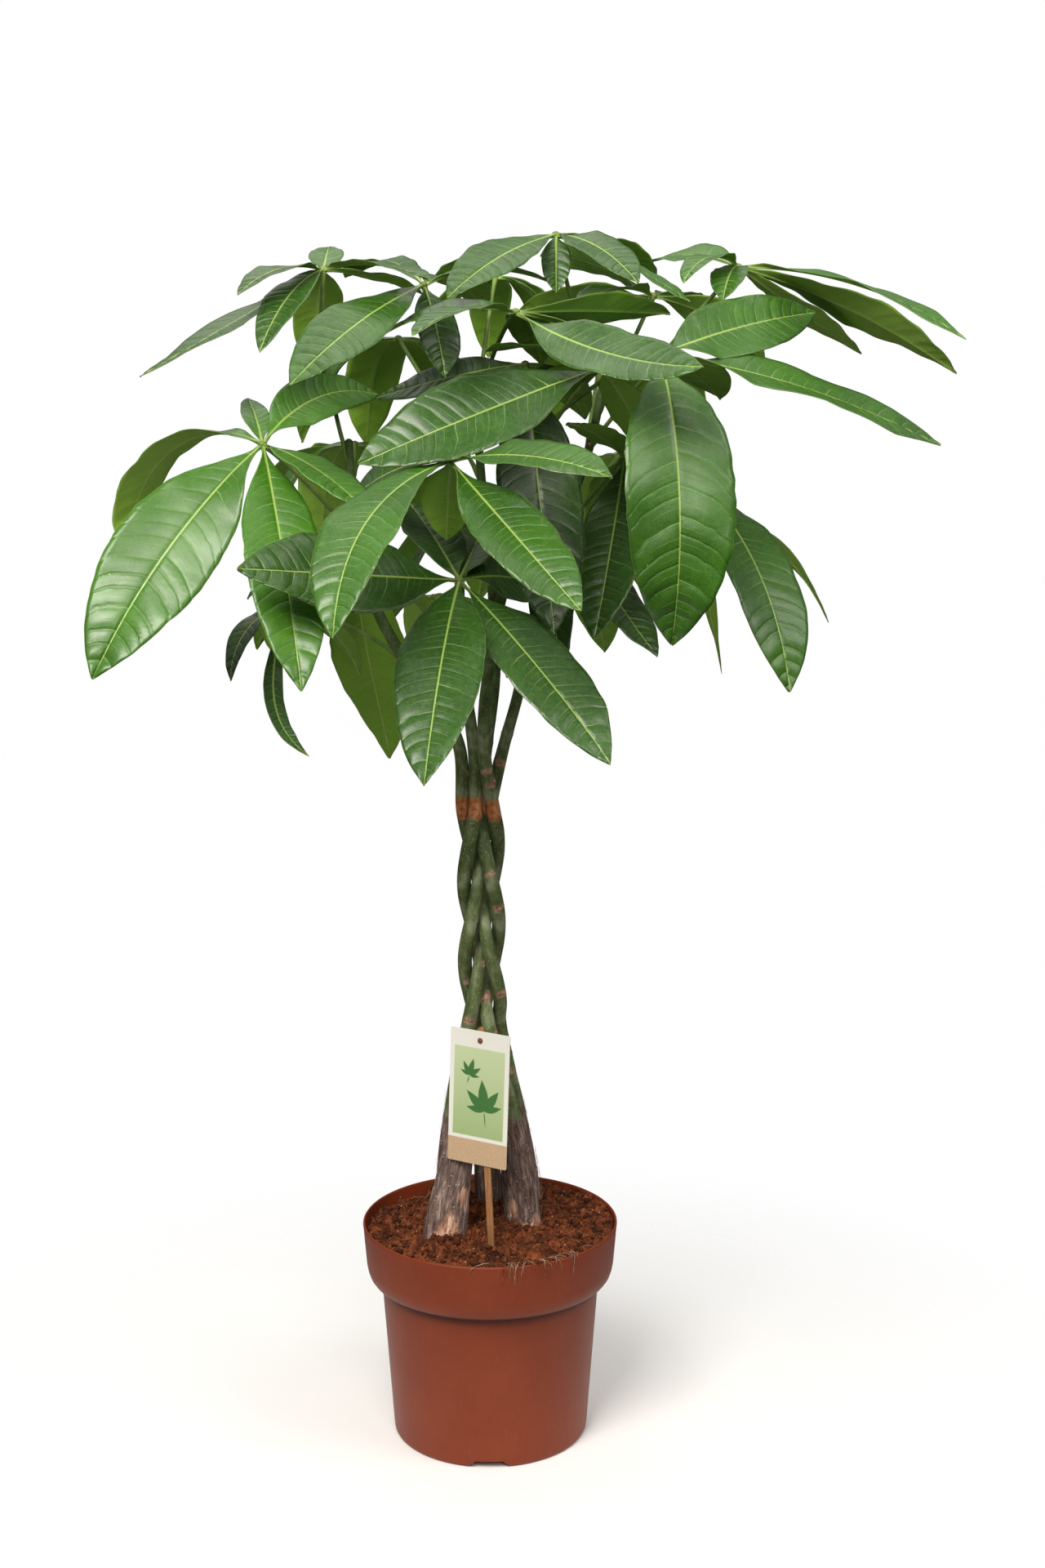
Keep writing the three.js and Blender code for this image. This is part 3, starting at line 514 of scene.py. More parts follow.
class Look(Nodes):
    """A material, with short ways to write its nodes."""

    def __init__(self, name, **settings):
        self.material = bpy.data.materials.new(name)
        super().__init__(self.material, "Principled BSDF")
        self.feed(**settings)

    def finish(self, colour, roughness, relief=None, depth=0):
        """Gives the material. The relief's heights from 0 to 1 stand for depth mm."""
        self.feed(Base_Color=colour, Roughness=roughness)
        if relief:
            bump = {"Height": relief, "Strength": 1, "Distance": depth * MM}
            self.feed(Normal=self.node("ShaderNodeBump", bump))
        return self.material

    def value(self, name):
        """A value that the mesh's points hold."""
        return self.node("ShaderNodeAttribute", {}, "Fac", attribute_name=name)

    def span(self, value, low, high, to_low=0, to_high=1):
        """Eases a value from one range to another and stops at its ends."""
        inputs = {"Value": value, 1: low, 2: high, 3: to_low, 4: to_high}
        return self.node("ShaderNodeMapRange", inputs, interpolation_type="SMOOTHSTEP")

    def place(self, along=1):
        """The place on the piece in mm. Where along is small, what is drawn there runs up and down."""
        where = self.node("ShaderNodeTexCoord", {}, "Object")
        scale = (1 / MM, 1 / MM, along / MM)
        return self.node("ShaderNodeVectorMath", {0: where, 1: scale}, operation="MULTIPLY")

    def height(self):
        """The height above the ground in mm."""
        return self.node("ShaderNodeSeparateXYZ", {0: self.place()}, "Z")

    def vector(self, x, y, z):
        return self.node("ShaderNodeCombineXYZ", {0: x, 1: y, 2: z})

    def noise(self, where, size, detail=3, roughness=0.55):
        """Noise from 0 to 1, its blotches about size mm wide."""
        inputs = {"Vector": where, "Scale": 1 / size, "Detail": detail, "Roughness": roughness}
        return self.node("ShaderNodeTexNoise", inputs, "Fac")

    def cells(self, where, size, feature="F1"):
        """The distance to the middle of the nearest cell, or to the nearest border of the cells."""
        inputs = {"Vector": where, "Scale": 1 / size}
        return self.node("ShaderNodeTexVoronoi", inputs, "Distance", feature=feature)

    def cover(self, colour, *layers):
        """Lays further colours over a colour, each with its share from 0 to 1."""
        for share, over in layers:
            colour = self.node("ShaderNodeMix", {0: share, 6: colour, 7: over}, 2, data_type="RGBA")
        return colour

    def ramp(self, value, *stops):
        """Colours along a value. Each stop is the value at it and its colour, from 0 to 255."""
        made = self.tree.nodes.new("ShaderNodeValToRGB")
        elements = made.color_ramp.elements
        while len(elements) < len(stops):
            elements.new(0.5)
        for element, (position, *colour) in zip(elements, stops):
            element.position = position
            element.color = tone(*colour)
        self.put(made.inputs[0], value)
        return Wire(self, made.outputs[0])


def vein_pattern(look):
    """How strongly a leaflet's lateral veins, midrib, edge and quilting show at its own coordinates."""
    names = ("along", "across", "half", "spacing", "reach", "own")
    along, across, half, spacing, reach, own = [look.value(name) for name in names]
    off = look.math("ABSOLUTE", across)
    share = off / half
    curve = look.math("POWER", share, 3) * VEIN_CURVE[1] + share * VEIN_CURVE[0]
    phase = (along - curve * half) / spacing
    side = look.math("GREATER_THAN", across, 0)
    swell = look.math("SINE", phase * VEIN_SWELL[0] + (side * 2 + own))
    wander = look.noise(look.vector(along, across, own), 13, 1) - 0.5
    shifted = wander * share * 0.5 + (swell * VEIN_SWELL[1] + (side * 0.5 + phase))
    distance = look.math("PINGPONG", shifted, 0.5) * spacing
    between = look.math("PINGPONG", shifted + 0.5, 0.5) * spacing
    vein = look.span(distance / (share * -0.3 + 0.6), 1, 0.2) * look.span(share, 0.95, 0.15, 0.15, 1)
    minor = look.span(between, 0.42, 0.1, 0, 0.5) * look.span(share, 0.62, 0.3)
    midrib = look.span(off / (reach * -0.85 + 1.25), 1.15, 0.7)
    edge = look.span(half - off, 0.75, 0.1)
    quilt = look.span(distance, 0, 3.2) * look.span(reach, 0.25, 0.9, 0.3, 1)
    return look.math("MAXIMUM", vein, minor), midrib, edge, quilt


def leaf_net(look):
    """A leaflet's own coordinates, and the fine net of veins between the lateral ones."""
    where = look.vector(look.value("along"), look.value("across"), look.value("own"))
    return where, look.span(look.cells(where, 2.6, "DISTANCE_TO_EDGE"), 0, 0.16)


def leaf_top():
    look = Look("leaf_top", Specular_IOR_Level=0.55, Coat_Weight=0.15, Coat_Roughness=0.24)
    vein, midrib, edge, quilt = vein_pattern(look)
    where, net = leaf_net(look)
    fine = look.noise(where, 5, 2)
    # The leaf's tint: lighter where it is young, and darker for the leaves deep in the crown as painted
    # shade.
    age_and_shade = (look.noise(where, 60, 2) - 0.5) * 0.4 + look.value("tint")
    green = look.cover(
        look.ramp(age_and_shade, *LEAF_GREENS),
        (look.span(fine, 0.35, 0.75, 0, 0.06), (140, 185, 85)),
        (look.span(net, 0, 1, 0.06, 0), (150, 190, 95)),
        (vein * 0.4, (150, 184, 104)),
        (edge * 0.25, (150, 176, 90)),
        (midrib * 0.85, (150, 178, 84)),
        (look.span(look.cells(where, 24), 0.05, 0.03) * 0.5, (120, 96, 50)),
    )
    relief = quilt * 0.7 + net * 0.01 - vein * 0.3 + fine * 0.06
    return look.finish(green, look.noise(where, 9) * 0.16 + 0.3, relief, 0.62)


def leaf_underside():
    look = Look("leaf_underside", Specular_IOR_Level=0.3, Sheen_Weight=0.1)
    vein, midrib, edge, _ = vein_pattern(look)
    where, net = leaf_net(look)
    # The leaf's tint: lighter where it is young, and darker for the leaves deep in the crown as painted
    # shade.
    age_and_shade = look.noise(where, 40) * 0.4 + look.value("tint") * 0.7
    green = look.cover(
        # Painted light: the underside's greens are much lighter than its own colour, standing in for light
        # that shines through the leaf.
        look.ramp(age_and_shade, (0, 108, 156, 34), (0.5, 138, 186, 54), (1, 168, 208, 84)),
        (look.span(net, 0, 1, 0.12, 0), (176, 212, 104)),
        (vein * 0.5, (178, 198, 112)),
        (edge * 0.4, (172, 190, 120)),
        (midrib * 0.9, (180, 202, 116)),
    )
    return look.finish(green, 0.6, vein * 0.6 + net * -0.01, 0.35)


def petiole_skin():
    look = Look("petiole_skin", Specular_IOR_Level=0.4)
    where = look.place()
    green = look.cover(
        look.ramp(look.noise(where, 14), (0.3, 92, 124, 52), (0.7, 132, 160, 78)),
        (look.value("swollen") * 0.45, (116, 122, 62)),
        (look.span(look.cells(where, 1.9), 0.26, 0.14) * 0.35, (176, 186, 128)),
    )
    return look.finish(green, 0.48, look.noise(look.place(0.3), 0.9), 0.15)


def bark():
    """Green bark above, brown and fibrous by the soil, worn orange-brown at the tie."""
    look = Look("bark", Specular_IOR_Level=0.3)
    x, y, height = look.value("bark_x"), look.value("bark_y"), look.value("height")
    where = look.vector(x, y, height)
    along = look.vector(x, y, height * 0.09)
    streak = look.noise(along, 1.6, 4, 0.65)
    strand = look.noise(along, 4.2)
    blotch = look.noise(where, 17, 4)
    specks = look.span(look.cells(where, 3.4), 0.22, 0.12)
    green = look.cover(
        look.ramp(blotch, (0.3, 66, 80, 42), (0.5, 98, 112, 68), (0.72, 146, 156, 124)),
        (look.span(strand, 0.45, 0.68, 0, 0.4), (62, 78, 40)),
        (look.span(height, 640, 860, 0, 0.75), (66, 96, 36)),
    )
    brown = look.ramp(
        streak, (0.3, 62, 48, 44), (0.48, 108, 88, 80), (0.62, 150, 128, 120), (0.76, 200, 182, 172))
    brown = look.cover(brown, (look.span(blotch, 0.45, 0.7, 0, 0.5), (78, 66, 60)))
    foot = look.span((strand - 0.5) * 0.9 + look.value("foot"), 0.35, 0.65)
    rubbed = look.noise(where, 6, 4, 0.65)
    orange = look.ramp(rubbed, (0.32, 136, 76, 38), (0.5, 176, 104, 56), (0.68, 196, 150, 118))
    dents = look.noise(where, 2.4, 4, 0.7)
    tan = look.ramp(dents, (0.34, 112, 78, 64), (0.48, 168, 128, 106), (0.68, 206, 172, 150))
    raw = look.ramp(streak, (0.34, 120, 78, 60), (0.48, 184, 138, 112), (0.64, 226, 196, 174))
    skin = look.cover(
        green, (foot, brown), (look.value("worn"), orange), (look.value("scar"), tan),
        (look.value("eye") * 0.75, (84, 54, 42)), (look.value("torn"), raw), (specks * 0.6, (190, 180, 148)),
    )
    crack = look.span(look.cells(along, 2.4, "DISTANCE_TO_EDGE"), 0, 0.12)
    relief = streak * 0.5 + crack * foot * 0.6 + specks * 0.2
    return look.finish(skin, foot * 0.3 + 0.55, relief, 0.9)


def root_fibre():
    look = Look("root_fibre", Specular_IOR_Level=0.2)
    blotch = look.noise(look.place(), 6)
    return look.finish(look.ramp(blotch, (0.36, 60, 30, 18), (0.52, 122, 68, 38), (0.7, 176, 122, 78)), 0.9)


def torn_fibre():
    look = Look("torn_fibre", Specular_IOR_Level=0.2)
    blotch = look.noise(look.place(), 4)
    return look.finish(look.ramp(blotch, (0.3, 104, 84, 72), (0.7, 184, 160, 140)), 0.85)


def peat():
    look = Look("peat", Specular_IOR_Level=0.15)
    where = look.place()
    blotch = look.noise(where, 13, 5, 0.7)
    grain = look.noise(where, 1.5, 4, 0.7)
    brown = look.cover(
        look.ramp(blotch, (0.34, 28, 12, 7), (0.5, 88, 43, 24), (0.66, 136, 74, 42)),
        (look.span(grain, 0.5, 0.72, 0, 0.5), (150, 92, 58)),
        (look.span(look.cells(where, 7), 0.14, 0.08, 0, 0.6), (196, 168, 126)),
    )
    return look.finish(brown, 0.95, grain * 0.6 + blotch * 0.4, 1.4)


def peat_crumb():
    look = Look("peat_crumb", Specular_IOR_Level=0.15)
    grain = look.noise(look.place(), 0.9, 4, 0.7)
    brown = look.ramp(
        look.value("own"), (0, 50, 24, 15), (0.5, 92, 48, 28), (0.85, 128, 72, 42), (1, 150, 92, 58))
    brown = look.cover(brown, (look.span(grain, 0.45, 0.75, 0, 0.4), (60, 32, 20)))
    return look.finish(brown, 0.95, grain, 0.7)


def pot_plastic():
    """Terracotta-coloured plastic: satin, faintly scuffed and dusty, with painted shade under the collar."""
    look = Look("pot_plastic", Specular_IOR_Level=0.25)
    where = look.place()
    height = look.height()
    scuff = look.noise(look.place(0.05), 2.2, 4, 0.7)
    # Painted shade: a dark band on the body just under the collar, where the collar's shadow falls.
    collar_shade = look.span(height, *COLLAR_SHADE[:2]) * look.span(height, *COLLAR_SHADE[2:])
    clay = look.cover(
        look.ramp(look.noise(where, 60), (0.3, 118, 49, 24), (0.7, 127, 55, 28)),
        (look.span(scuff, 0.56, 0.75, 0, 0.16), (160, 92, 60)),
        (look.span(look.noise(where, 1.1, 2), 0.62, 0.8, 0, 0.2), (96, 44, 28)),
        (look.span(look.noise(where, 11, 5, 0.7), 0.58, 0.8, 0, 0.1), (154, 100, 72)),
        (collar_shade * 0.75, (52, 20, 10)),
    )
    relief = scuff * 0.4 + look.noise(where, 0.7, 2) * 0.3
    return look.finish(clay, scuff * 0.25 + 0.32, relief, 0.12)


def warm_wood():
    look = Look("warm_wood", Specular_IOR_Level=0.25)
    grain = look.noise(look.place(0.04), 0.9, 4, 0.6)
    damp = look.span(look.height(), 235, 205, 0, 0.45)
    brown = look.ramp(grain, (0.3, 138, 92, 56), (0.5, 168, 120, 78), (0.75, 196, 152, 106))
    return look.finish(look.cover(brown, (damp, (84, 52, 34))), 0.68, grain, 0.25)


def dark_peg():
    look = Look("dark_peg", Specular_IOR_Level=0.35)
    grain = look.noise(look.place(0.3), 0.6)
    return look.finish(look.ramp(grain, (0.3, 92, 58, 36), (0.7, 134, 88, 56)), 0.5)


def printed_card():
    """Coated card: a pale border, a soft green panel with two plain leaves, a brown paper band."""
    look = Look("printed_card", Specular_IOR_Level=0.4, Coat_Weight=0.15, Coat_Roughness=0.2)
    fibre = look.noise(look.place(), 0.8)
    colour = look.cover(
        (236, 235, 226),
        (look.value("panel"), look.ramp(look.value("rise"), (0, 150, 176, 112), (1, 206, 220, 178))),
        (look.value("motif"), (70, 118, 62)),
        (look.value("band"), look.ramp(fibre, (0.3, 186, 154, 120), (0.7, 212, 184, 150))),
    )
    return look.finish(colour, 0.42, fibre, 0.04)


# ---------------------------------------------------------------- trunks


def trunk_top(name):
    return STEMS[name][3][-1][2]


def trunk_guides(name):
    strand, _, low, high = STEMS[name]
    rows = [[z, x, y] for x, y, z in low]
    for z in COLUMN_HEIGHTS:
        turned = 360 * (z - BRAID_PHASE_HEIGHT) / BRAID_PERIOD + 360 / len(STEMS) * strand
        angle = math.radians(90 + turned)
        middle = np.interp(z, COLUMN_HEIGHTS[[0, -1]], COLUMN_X)
        x = middle + BRAID_WIDTH * math.cos(angle) + BRAID_SQUARENESS * math.cos(3 * angle)
        rows.append([z, x, -BRAID_DEPTH * math.sin(2 * angle)])
    return rows + [[z, x, y] for x, y, z in high]


def trunk_middle(name, heights):
    heights = np.atleast_1d(np.asarray(heights, float))
    return np.column_stack([smooth(trunk_guides(name), heights), heights])


def trunk_radius(name, heights):
    low = [[height, share * STEMS[name][1]] for height, share in FOOT_TAPER]
    return straight(low + SHOOT_TAPER, heights)


def scars_of(name, seed):
    """The scars that show, and some that are drawn for the trunk's other sides."""
    draw = np.random.default_rng(seed)
    shown = [(height, bearing) for stem, height, bearing in SCARS if stem == name]
    hidden = [(draw.uniform(350, trunk_top(name) - 40), draw.uniform(-20, 200)) for _ in range(9)]
    return shown + hidden


def round_trunk(bearing, middle, base):
    """How far round the bark bearings lie from the middle of a mark, in mm."""
    return np.radians((bearing - middle + 180) % 360 - 180) * base


def scarred(name, seed, radii, base, bearing, around):
    """Lays the leaf scars on a trunk's radii. Also gives where they and their dark creases show."""
    scar = np.zeros_like(radii)
    eye = np.zeros_like(radii)
    for height, middle in scars_of(name, seed):
        swing = round_trunk(bearing, middle, base) / SCAR_SIZE[0]
        rise = around[..., 2] - height
        uneven = ripple(seed + int(height), around, (5, 5, 3), 8)
        off = np.hypot(swing, rise / SCAR_SIZE[1]) + 0.24 * uneven
        crease = np.hypot(swing, (rise - 0.9 + 0.35 * uneven) / 0.7)
        radii = radii + 0.6 * np.exp(-(off**2)) - 0.5 * np.exp(-(crease**2))
        scar = np.maximum(scar, 1 - ease(0.85, 1.1, off))
        eye = np.maximum(eye, 1 - ease(0.5, 1.1, crease))
    return radii, scar, eye


def torn_places(name, seed, base, bearing, around):
    """Where a trunk's bark is torn off, from 0 to 1."""
    torn = np.zeros(around.shape[:2])
    for stem, height, middle, tall, broad in TORN_PATCHES:
        if stem == name:
            swing = round_trunk(bearing, middle, base) / broad
            off = np.hypot(swing, (around[..., 2] - height) / tall)
            off = off + 0.34 * ripple(seed + int(height), around, (2.4, 2.4, 12), 12)
            torn = np.maximum(torn, 1 - ease(0.8, 1.0, off))
    return torn


def trunk(name, seed, skin, fibre):
    top = trunk_top(name)
    stretches = [np.arange(150, 190, 5), np.arange(190, 345, 1.6), np.arange(345, top, 2.2), [top]]
    heights = np.concatenate([*stretches, top + TIP_SHAPE[:, 0]])
    path = trunk_middle(name, np.minimum(heights, top))
    path[:, 2] = heights
    level = heights[:, None]
    base = trunk_radius(name, np.minimum(level, top)) * np.interp(level - top, *TIP_SHAPE.T, left=1)
    bearing = 360 * np.arange(TRUNK_SIDES) / TRUNK_SIDES
    angle = np.radians(bearing)
    around = polar(angle, 10, level)
    foot = 1 - ease(278, 338, level)
    ridges = ripple(seed, around, (3.2, 3.2, 60)) * 0.35 + ripple(seed + 50, around, (1.4, 1.4, 30)) * 0.2
    knobbly = ripple(seed + 90, around, (9, 9, 26)) * 0.22
    radii = base + ridges * (0.12 + foot * 1.5) + knobbly * (1 + 2 * foot)
    radii, scar, eye = scarred(name, seed, radii, base, bearing, around)
    torn = torn_places(name, seed, base, bearing, around)
    radii = radii - 1.1 * torn + 0.5 * torn * ripple(seed + 33, around, (1.2, 1.2, 9))
    tie = level + 0.7 * ripple(seed + 5, around, (4, 4, 9), 8)
    worn = ease(TIE_BAND[0] - 2, TIE_BAND[0], tie) - ease(TIE_BAND[1], TIE_BAND[1] + 2, tie)
    values = {
        "height": level, "foot": foot, "worn": worn, "scar": scar, "eye": eye, "torn": torn,
        "bark_x": np.cos(angle) * 8, "bark_y": np.sin(angle) * 8,
    }
    for key, value in values.items():
        spread = np.broadcast_to(value, radii.shape).ravel()
        values[key] = np.concatenate([spread, spread[[0, -1]]])
    made = Piece(name)
    made.add(*tube(path, radii, TRUNK_SIDES, (1, 0, 0)), 0, **values)
    torn_bark(made, name, seed)
    return made.build(name, [skin, fibre])


def torn_bark(made, name, seed):
    """Fibres that have split off the swollen foot, held at one end."""
    draw = np.random.default_rng(seed + 7)
    t = np.linspace(0, 1, 9)
    for _ in range(TORN_FIBRES):
        start = draw.uniform(206, 318)
        length = draw.uniform(5, 20)
        heights = np.maximum(start + t * length * draw.choice([-1, 1]), 204)
        turned = draw.uniform(0, 2 * math.pi) + t * draw.uniform(-0.35, 0.35)
        lift = draw.uniform(0.1, 1) ** 2 * t**2 * 3.2
        path = trunk_middle(name, heights) + polar(turned, trunk_radius(name, heights) + 0.3 + lift, 0)
        if np.ptp(path[:, 2]) >= 3:
            thick = np.linspace(1, 0.3, 9) * draw.uniform(0.09, 0.24)
            made.add(*tube(path, thick, 5, (1, 0, 0)), 1)


# ---------------------------------------------------------------- leaves


def heading(leaflet, shares):
    """Which way a leaflet's midrib runs at shares of its length."""
    turn = np.radians(leaflet[0] + leaflet[6] * shares)
    rise = np.radians(leaflet[1] - leaflet[2] * shares)
    return polar(turn, np.cos(rise), np.sin(rise))


def midrib(hub, leaflet, shares):
    steps = 96
    moves = heading(leaflet, (np.arange(steps) + 0.5) / steps) * (leaflet[3] / steps)
    rib = np.concatenate([[np.zeros(3)], np.cumsum(moves, axis=0)]) + hub
    return np.stack([np.interp(shares * steps, np.arange(steps + 1), line) for line in rib.T], -1)


def own_number(seed):
    """A number that tells a leaflet's patterns apart from the others'."""
    return seed * 7.3 % 97


def vein_spacing(length):
    return 5 + 0.048 * length


def blade(hub, leaflet, rows, columns, seed):
    """A leaflet's middle surface, and the share along, the share across and the half width over it."""
    _, _, _, length, width, roll, swing = leaflet
    shares = np.sin(np.linspace(-1, 1, rows) * 1.25) / math.sin(1.25) / 2 + 0.5
    steps = np.linspace(-1, 1, columns)
    s, v = np.meshgrid(shares, np.sign(steps) * np.abs(steps) ** 1.35, indexing="ij")
    turn = np.radians(leaflet[0] + swing * shares)
    level = np.stack([-np.sin(turn), np.cos(turn), np.zeros(rows)], -1)
    top = np.cross(heading(leaflet, shares), level)
    tilt = np.radians(roll * np.minimum(1, shares / ROLL_BY))[:, None]
    left = level * np.cos(tilt) + top * np.sin(tilt)
    upper = top * np.cos(tilt) - level * np.sin(tilt)
    half = smooth(OUTLINE, shares) * width / 2
    nick = ripple(seed + 3, np.stack([s * length, np.sign(v) * 40], -1), (5, 12)) * ease(0.06, 0.2, s)
    aside = v * half * (1 + 0.012 * nick)
    lift = blade_lift(leaflet, s, v, half, seed)
    centre = midrib(np.array(hub, float), leaflet, shares)
    return centre[:, None] + left[:, None] * aside[..., None] + upper[:, None] * lift[..., None], s, v, half


def blade_lift(leaflet, s, v, half, seed):
    """How far a leaflet stands off its flat form: its fold, quilting, waves and rippled margin."""
    length, width = leaflet[3:5]
    size = width / 60
    own = own_number(seed)
    draw = np.random.default_rng(seed)
    reach = np.abs(v)
    bow = (VEIN_CURVE[0] * reach + VEIN_CURVE[1] * reach**3) * half
    phase = (s * length - bow) / vein_spacing(length)
    phase = phase + VEIN_SWELL[1] * np.sin(VEIN_SWELL[0] * phase + 2 * (v > 0) + own) + 0.5 * (v > 0)
    quilt = np.abs(np.sin(math.pi * phase)) ** 0.7 * reach**0.3 * (1 - reach**4) * QUILT * size
    quilt = quilt * (0.2 + ease(0.3, 0.95, s)) * (1 + 0.35 * np.sin(phase * 2.3 + own))
    wave = straight(WAVE_STATIONS, s) * BLADE_WAVE * length * np.sign(v) * reach**1.4
    ripples = s * draw.uniform(4, 6.5) + draw.uniform()
    margin = np.sin(2 * math.pi * ripples + np.sign(v) * draw.uniform(1, 3))
    margin = margin * reach**3.5 * ease(0.05, 0.3, s) * EDGE_RIPPLE * size
    uneven = ripple(seed, np.stack([s * length, v * half], -1), (40, 20)) * 1.1 * size * ease(0.03, 0.2, s)
    fold = BLADE_FOLD * half * reach**1.4
    return fold + quilt * ease(0.04, 0.2, s) + wave + margin + uneven * reach**0.5


def add_leaflet(made, hub, leaflet, tint, seed, mesh):
    """Adds a leaflet with its top, its edge and its underside. Its midrib is sunk above and raised below."""
    rows, columns = mesh
    surface, s, v, half = blade(hub, leaflet, rows, columns, seed)
    length = leaflet[3]
    normal = unit(np.cross(np.gradient(surface, axis=0), np.gradient(surface, axis=1)))
    off = np.abs(v) * half
    body = 0.27 + 0.85 * np.exp(-((s * length / 9) ** 2))
    groove = 0.35 * np.exp(-((off / 1.1) ** 2)) * ease(0.05, 0.15, s)
    rib = (1.35 * (1 - s) ** 0.8 + 0.15) * np.exp(-((off / 1.05) ** 2))
    above = surface + normal * (body - groove)[..., None]
    below = surface - normal * (body + rib)[..., None]
    values = {
        "along": s * length, "across": v * half, "half": half, "reach": s,
        "spacing": vein_spacing(length), "tint": tint, "own": own_number(seed),
    }
    both = {key: np.tile(np.broadcast_to(value, s.shape).ravel(), 2) for key, value in values.items()}
    quads = grid(rows, columns)
    edge = rim(rows, columns)
    faces = [quads[:, ::-1], *edge, quads + rows * columns]
    made.add(np.stack([above, below]), faces, [0] * (1 + len(edge)) + [1], **both)


def rim(rows, columns):
    """Quads that close a blade's two faces round its edge."""
    under = rows * columns
    left = np.arange(rows) * columns + columns - 1
    right = np.arange(rows) * columns
    base = np.arange(columns)
    tip = (rows - 1) * columns + base
    strips = []
    for line, turned in ((left, False), (right, True), (base, False), (tip, True)):
        quads = np.stack([line[:-1], line[1:], line[1:] + under, line[:-1] + under], 1)
        strips.append(quads[:, ::-1] if turned else quads)
    return strips


def add_petiole(made, stem, height, hub):
    """Adds a leaf's stalk, which bows from its trunk to the hub and is thicker at both."""
    start = trunk_middle(stem, height)[0]
    chord = np.array(hub, float) - start
    level = unit(chord * [1, 1, 0])
    steepness = math.atan2(chord[2], math.hypot(chord[0], chord[1]))
    outward = level * math.sin(steepness) - np.array([0, 0, math.cos(steepness)])
    bulge = PETIOLE_BEND * np.linalg.norm(chord) * (math.degrees(steepness) - PETIOLE_SPRING) / 60
    bend = start + chord / 2 + outward * bulge
    t = np.linspace(0, 1, 48)[:, None]
    path = (1 - t) ** 2 * start + 2 * t * (1 - t) * bend + t**2 * (start + chord)
    run = np.concatenate([[0], np.cumsum(np.linalg.norm(np.diff(path, axis=0), axis=1))])
    at_trunk = np.exp(-(((run - trunk_radius(stem, height)) / 9) ** 2))
    at_hub = np.exp(-(((run[-1] - run) / 7) ** 2))
    radii = 1.95 + 1.5 * at_trunk + 1.1 * at_hub
    swollen = np.repeat(np.maximum(at_trunk, at_hub), PETIOLE_SIDES)
    stalk = tube(path, radii, PETIOLE_SIDES, np.array([level[1], -level[0], 0]))
    made.add(*stalk, 2, swollen=np.concatenate([swollen, [0, 1]]))


def add_hub(made, hub):
    rings = np.linspace(-0.98, 0.98, 9)
    profile = [[HUB_RADIUS * math.sqrt(1 - level**2), HUB_RADIUS * level * 0.85] for level in rings]
    points, faces = lathe(profile, 16)
    made.add(points + np.array(hub, float), faces, 2, swollen=1)


def leaf(number, row, looks):
    name, stem, height, hub, tint, leaflets = row
    made = Piece(name)
    add_petiole(made, stem, height, hub)
    add_hub(made, hub)
    draw = np.random.default_rng(300 + number)
    mesh = FINE_MESH if number < FINE_LEAVES else COARSE_MESH
    for i, leaflet in enumerate(leaflets):
        own = float(np.clip(tint + draw.normal() * 0.05, 0, 1))
        whole = [*leaflet, 0, 0][:7]
        add_leaflet(made, hub, whole, own, 1000 + 20 * number + i, mesh)
    return made.build(name, looks)


# ---------------------------------------------------------------- soil


def off_trunk(name, x, y):
    """How far places on the soil lie outside a trunk."""
    middle = trunk_middle(name, SOIL_LEVEL)[0]
    return np.hypot(x - middle[0], y - middle[1]) - trunk_radius(name, SOIL_LEVEL)


def soil_surface(x, y):
    """The lumpy top of the soil, heaped round the trunks and lower at the left front."""
    flat = np.stack([x, y], -1)
    height = SOIL_LEVEL + (SOIL_TILT[0] * x + SOIL_TILT[1] * y) / 118
    height = height + SOIL_WAVES[0] * np.sin(x / 11) * np.cos(y / 13 + 1)
    height = height + SOIL_WAVES[1] * np.sin(x / 6.3 - y / 7.7 + 2)
    for seed, wide, count, tall in SOIL_LUMPS:
        height = height + ripple(seed, flat, (wide, wide), count) * tall
    for name in STEMS:
        height = height + 5 * np.exp(-((off_trunk(name, x, y) / 16) ** 2))
    height = height - 5 * np.exp(-(((x + 100) / 30) ** 2 + ((y + 30) / 45) ** 2))
    edge = ease(SOIL_WALL - 10, SOIL_WALL, np.hypot(x, y))
    return np.minimum(height, SOIL_LIMIT + 6 * (1 - edge))


def soil(skin):
    rings, sides = SOIL_GRID
    radii = np.concatenate([np.linspace(0.6, SOIL_WALL, rings), [SOIL_WALL - 0.4, SOIL_WALL - 2]])
    places = polar(turns(sides), radii[:, None], SOIL_BOTTOM)
    places[:-1, :, 2] = soil_surface(places[:-1, :, 0], places[:-1, :, 1])
    places[-2, :, 2] = places[-3, :, 2] - 6
    made = Piece("soil")
    made.add(*closed(places[::-1], [0, 0, SOIL_BOTTOM], [0, 0, places[0, :, 2].mean()]))
    return made.build("soil", [skin])


def lump(draw, size):
    """A small crumb: a squashed ball with its rings pushed in and out."""
    rings, sides = 5, 7
    level = np.linspace(-0.86, 0.86, rings)[:, None]
    out = np.sqrt(1 - level**2) * draw.uniform(0.7, 1.25, (rings, sides)) * size
    angle = turns(sides) + draw.uniform(0, 6)
    height = level * size * draw.uniform(0.55, 0.95)
    ball = polar(angle, out, height) * [1, draw.uniform(0.6, 1), 1]
    points, faces = closed(ball, [0, 0, height[0, 0] * 1.15], [0, 0, height[-1, 0] * 1.15])
    spin = Matrix.Rotation(draw.uniform(0, 6.28), 3, "Z") @ Matrix.Rotation(draw.normal() * 0.5, 3, "X")
    return points @ np.array(spin).T, faces


def soil_spot(draw):
    """A place on the soil that no trunk stands on."""
    while True:
        x, y = draw.uniform(-SOIL_WALL, SOIL_WALL, 2)
        if math.hypot(x, y) <= SOIL_WALL - 3 and all(off_trunk(name, x, y) > -1 for name in STEMS):
            return x, y, float(soil_surface(x, y))


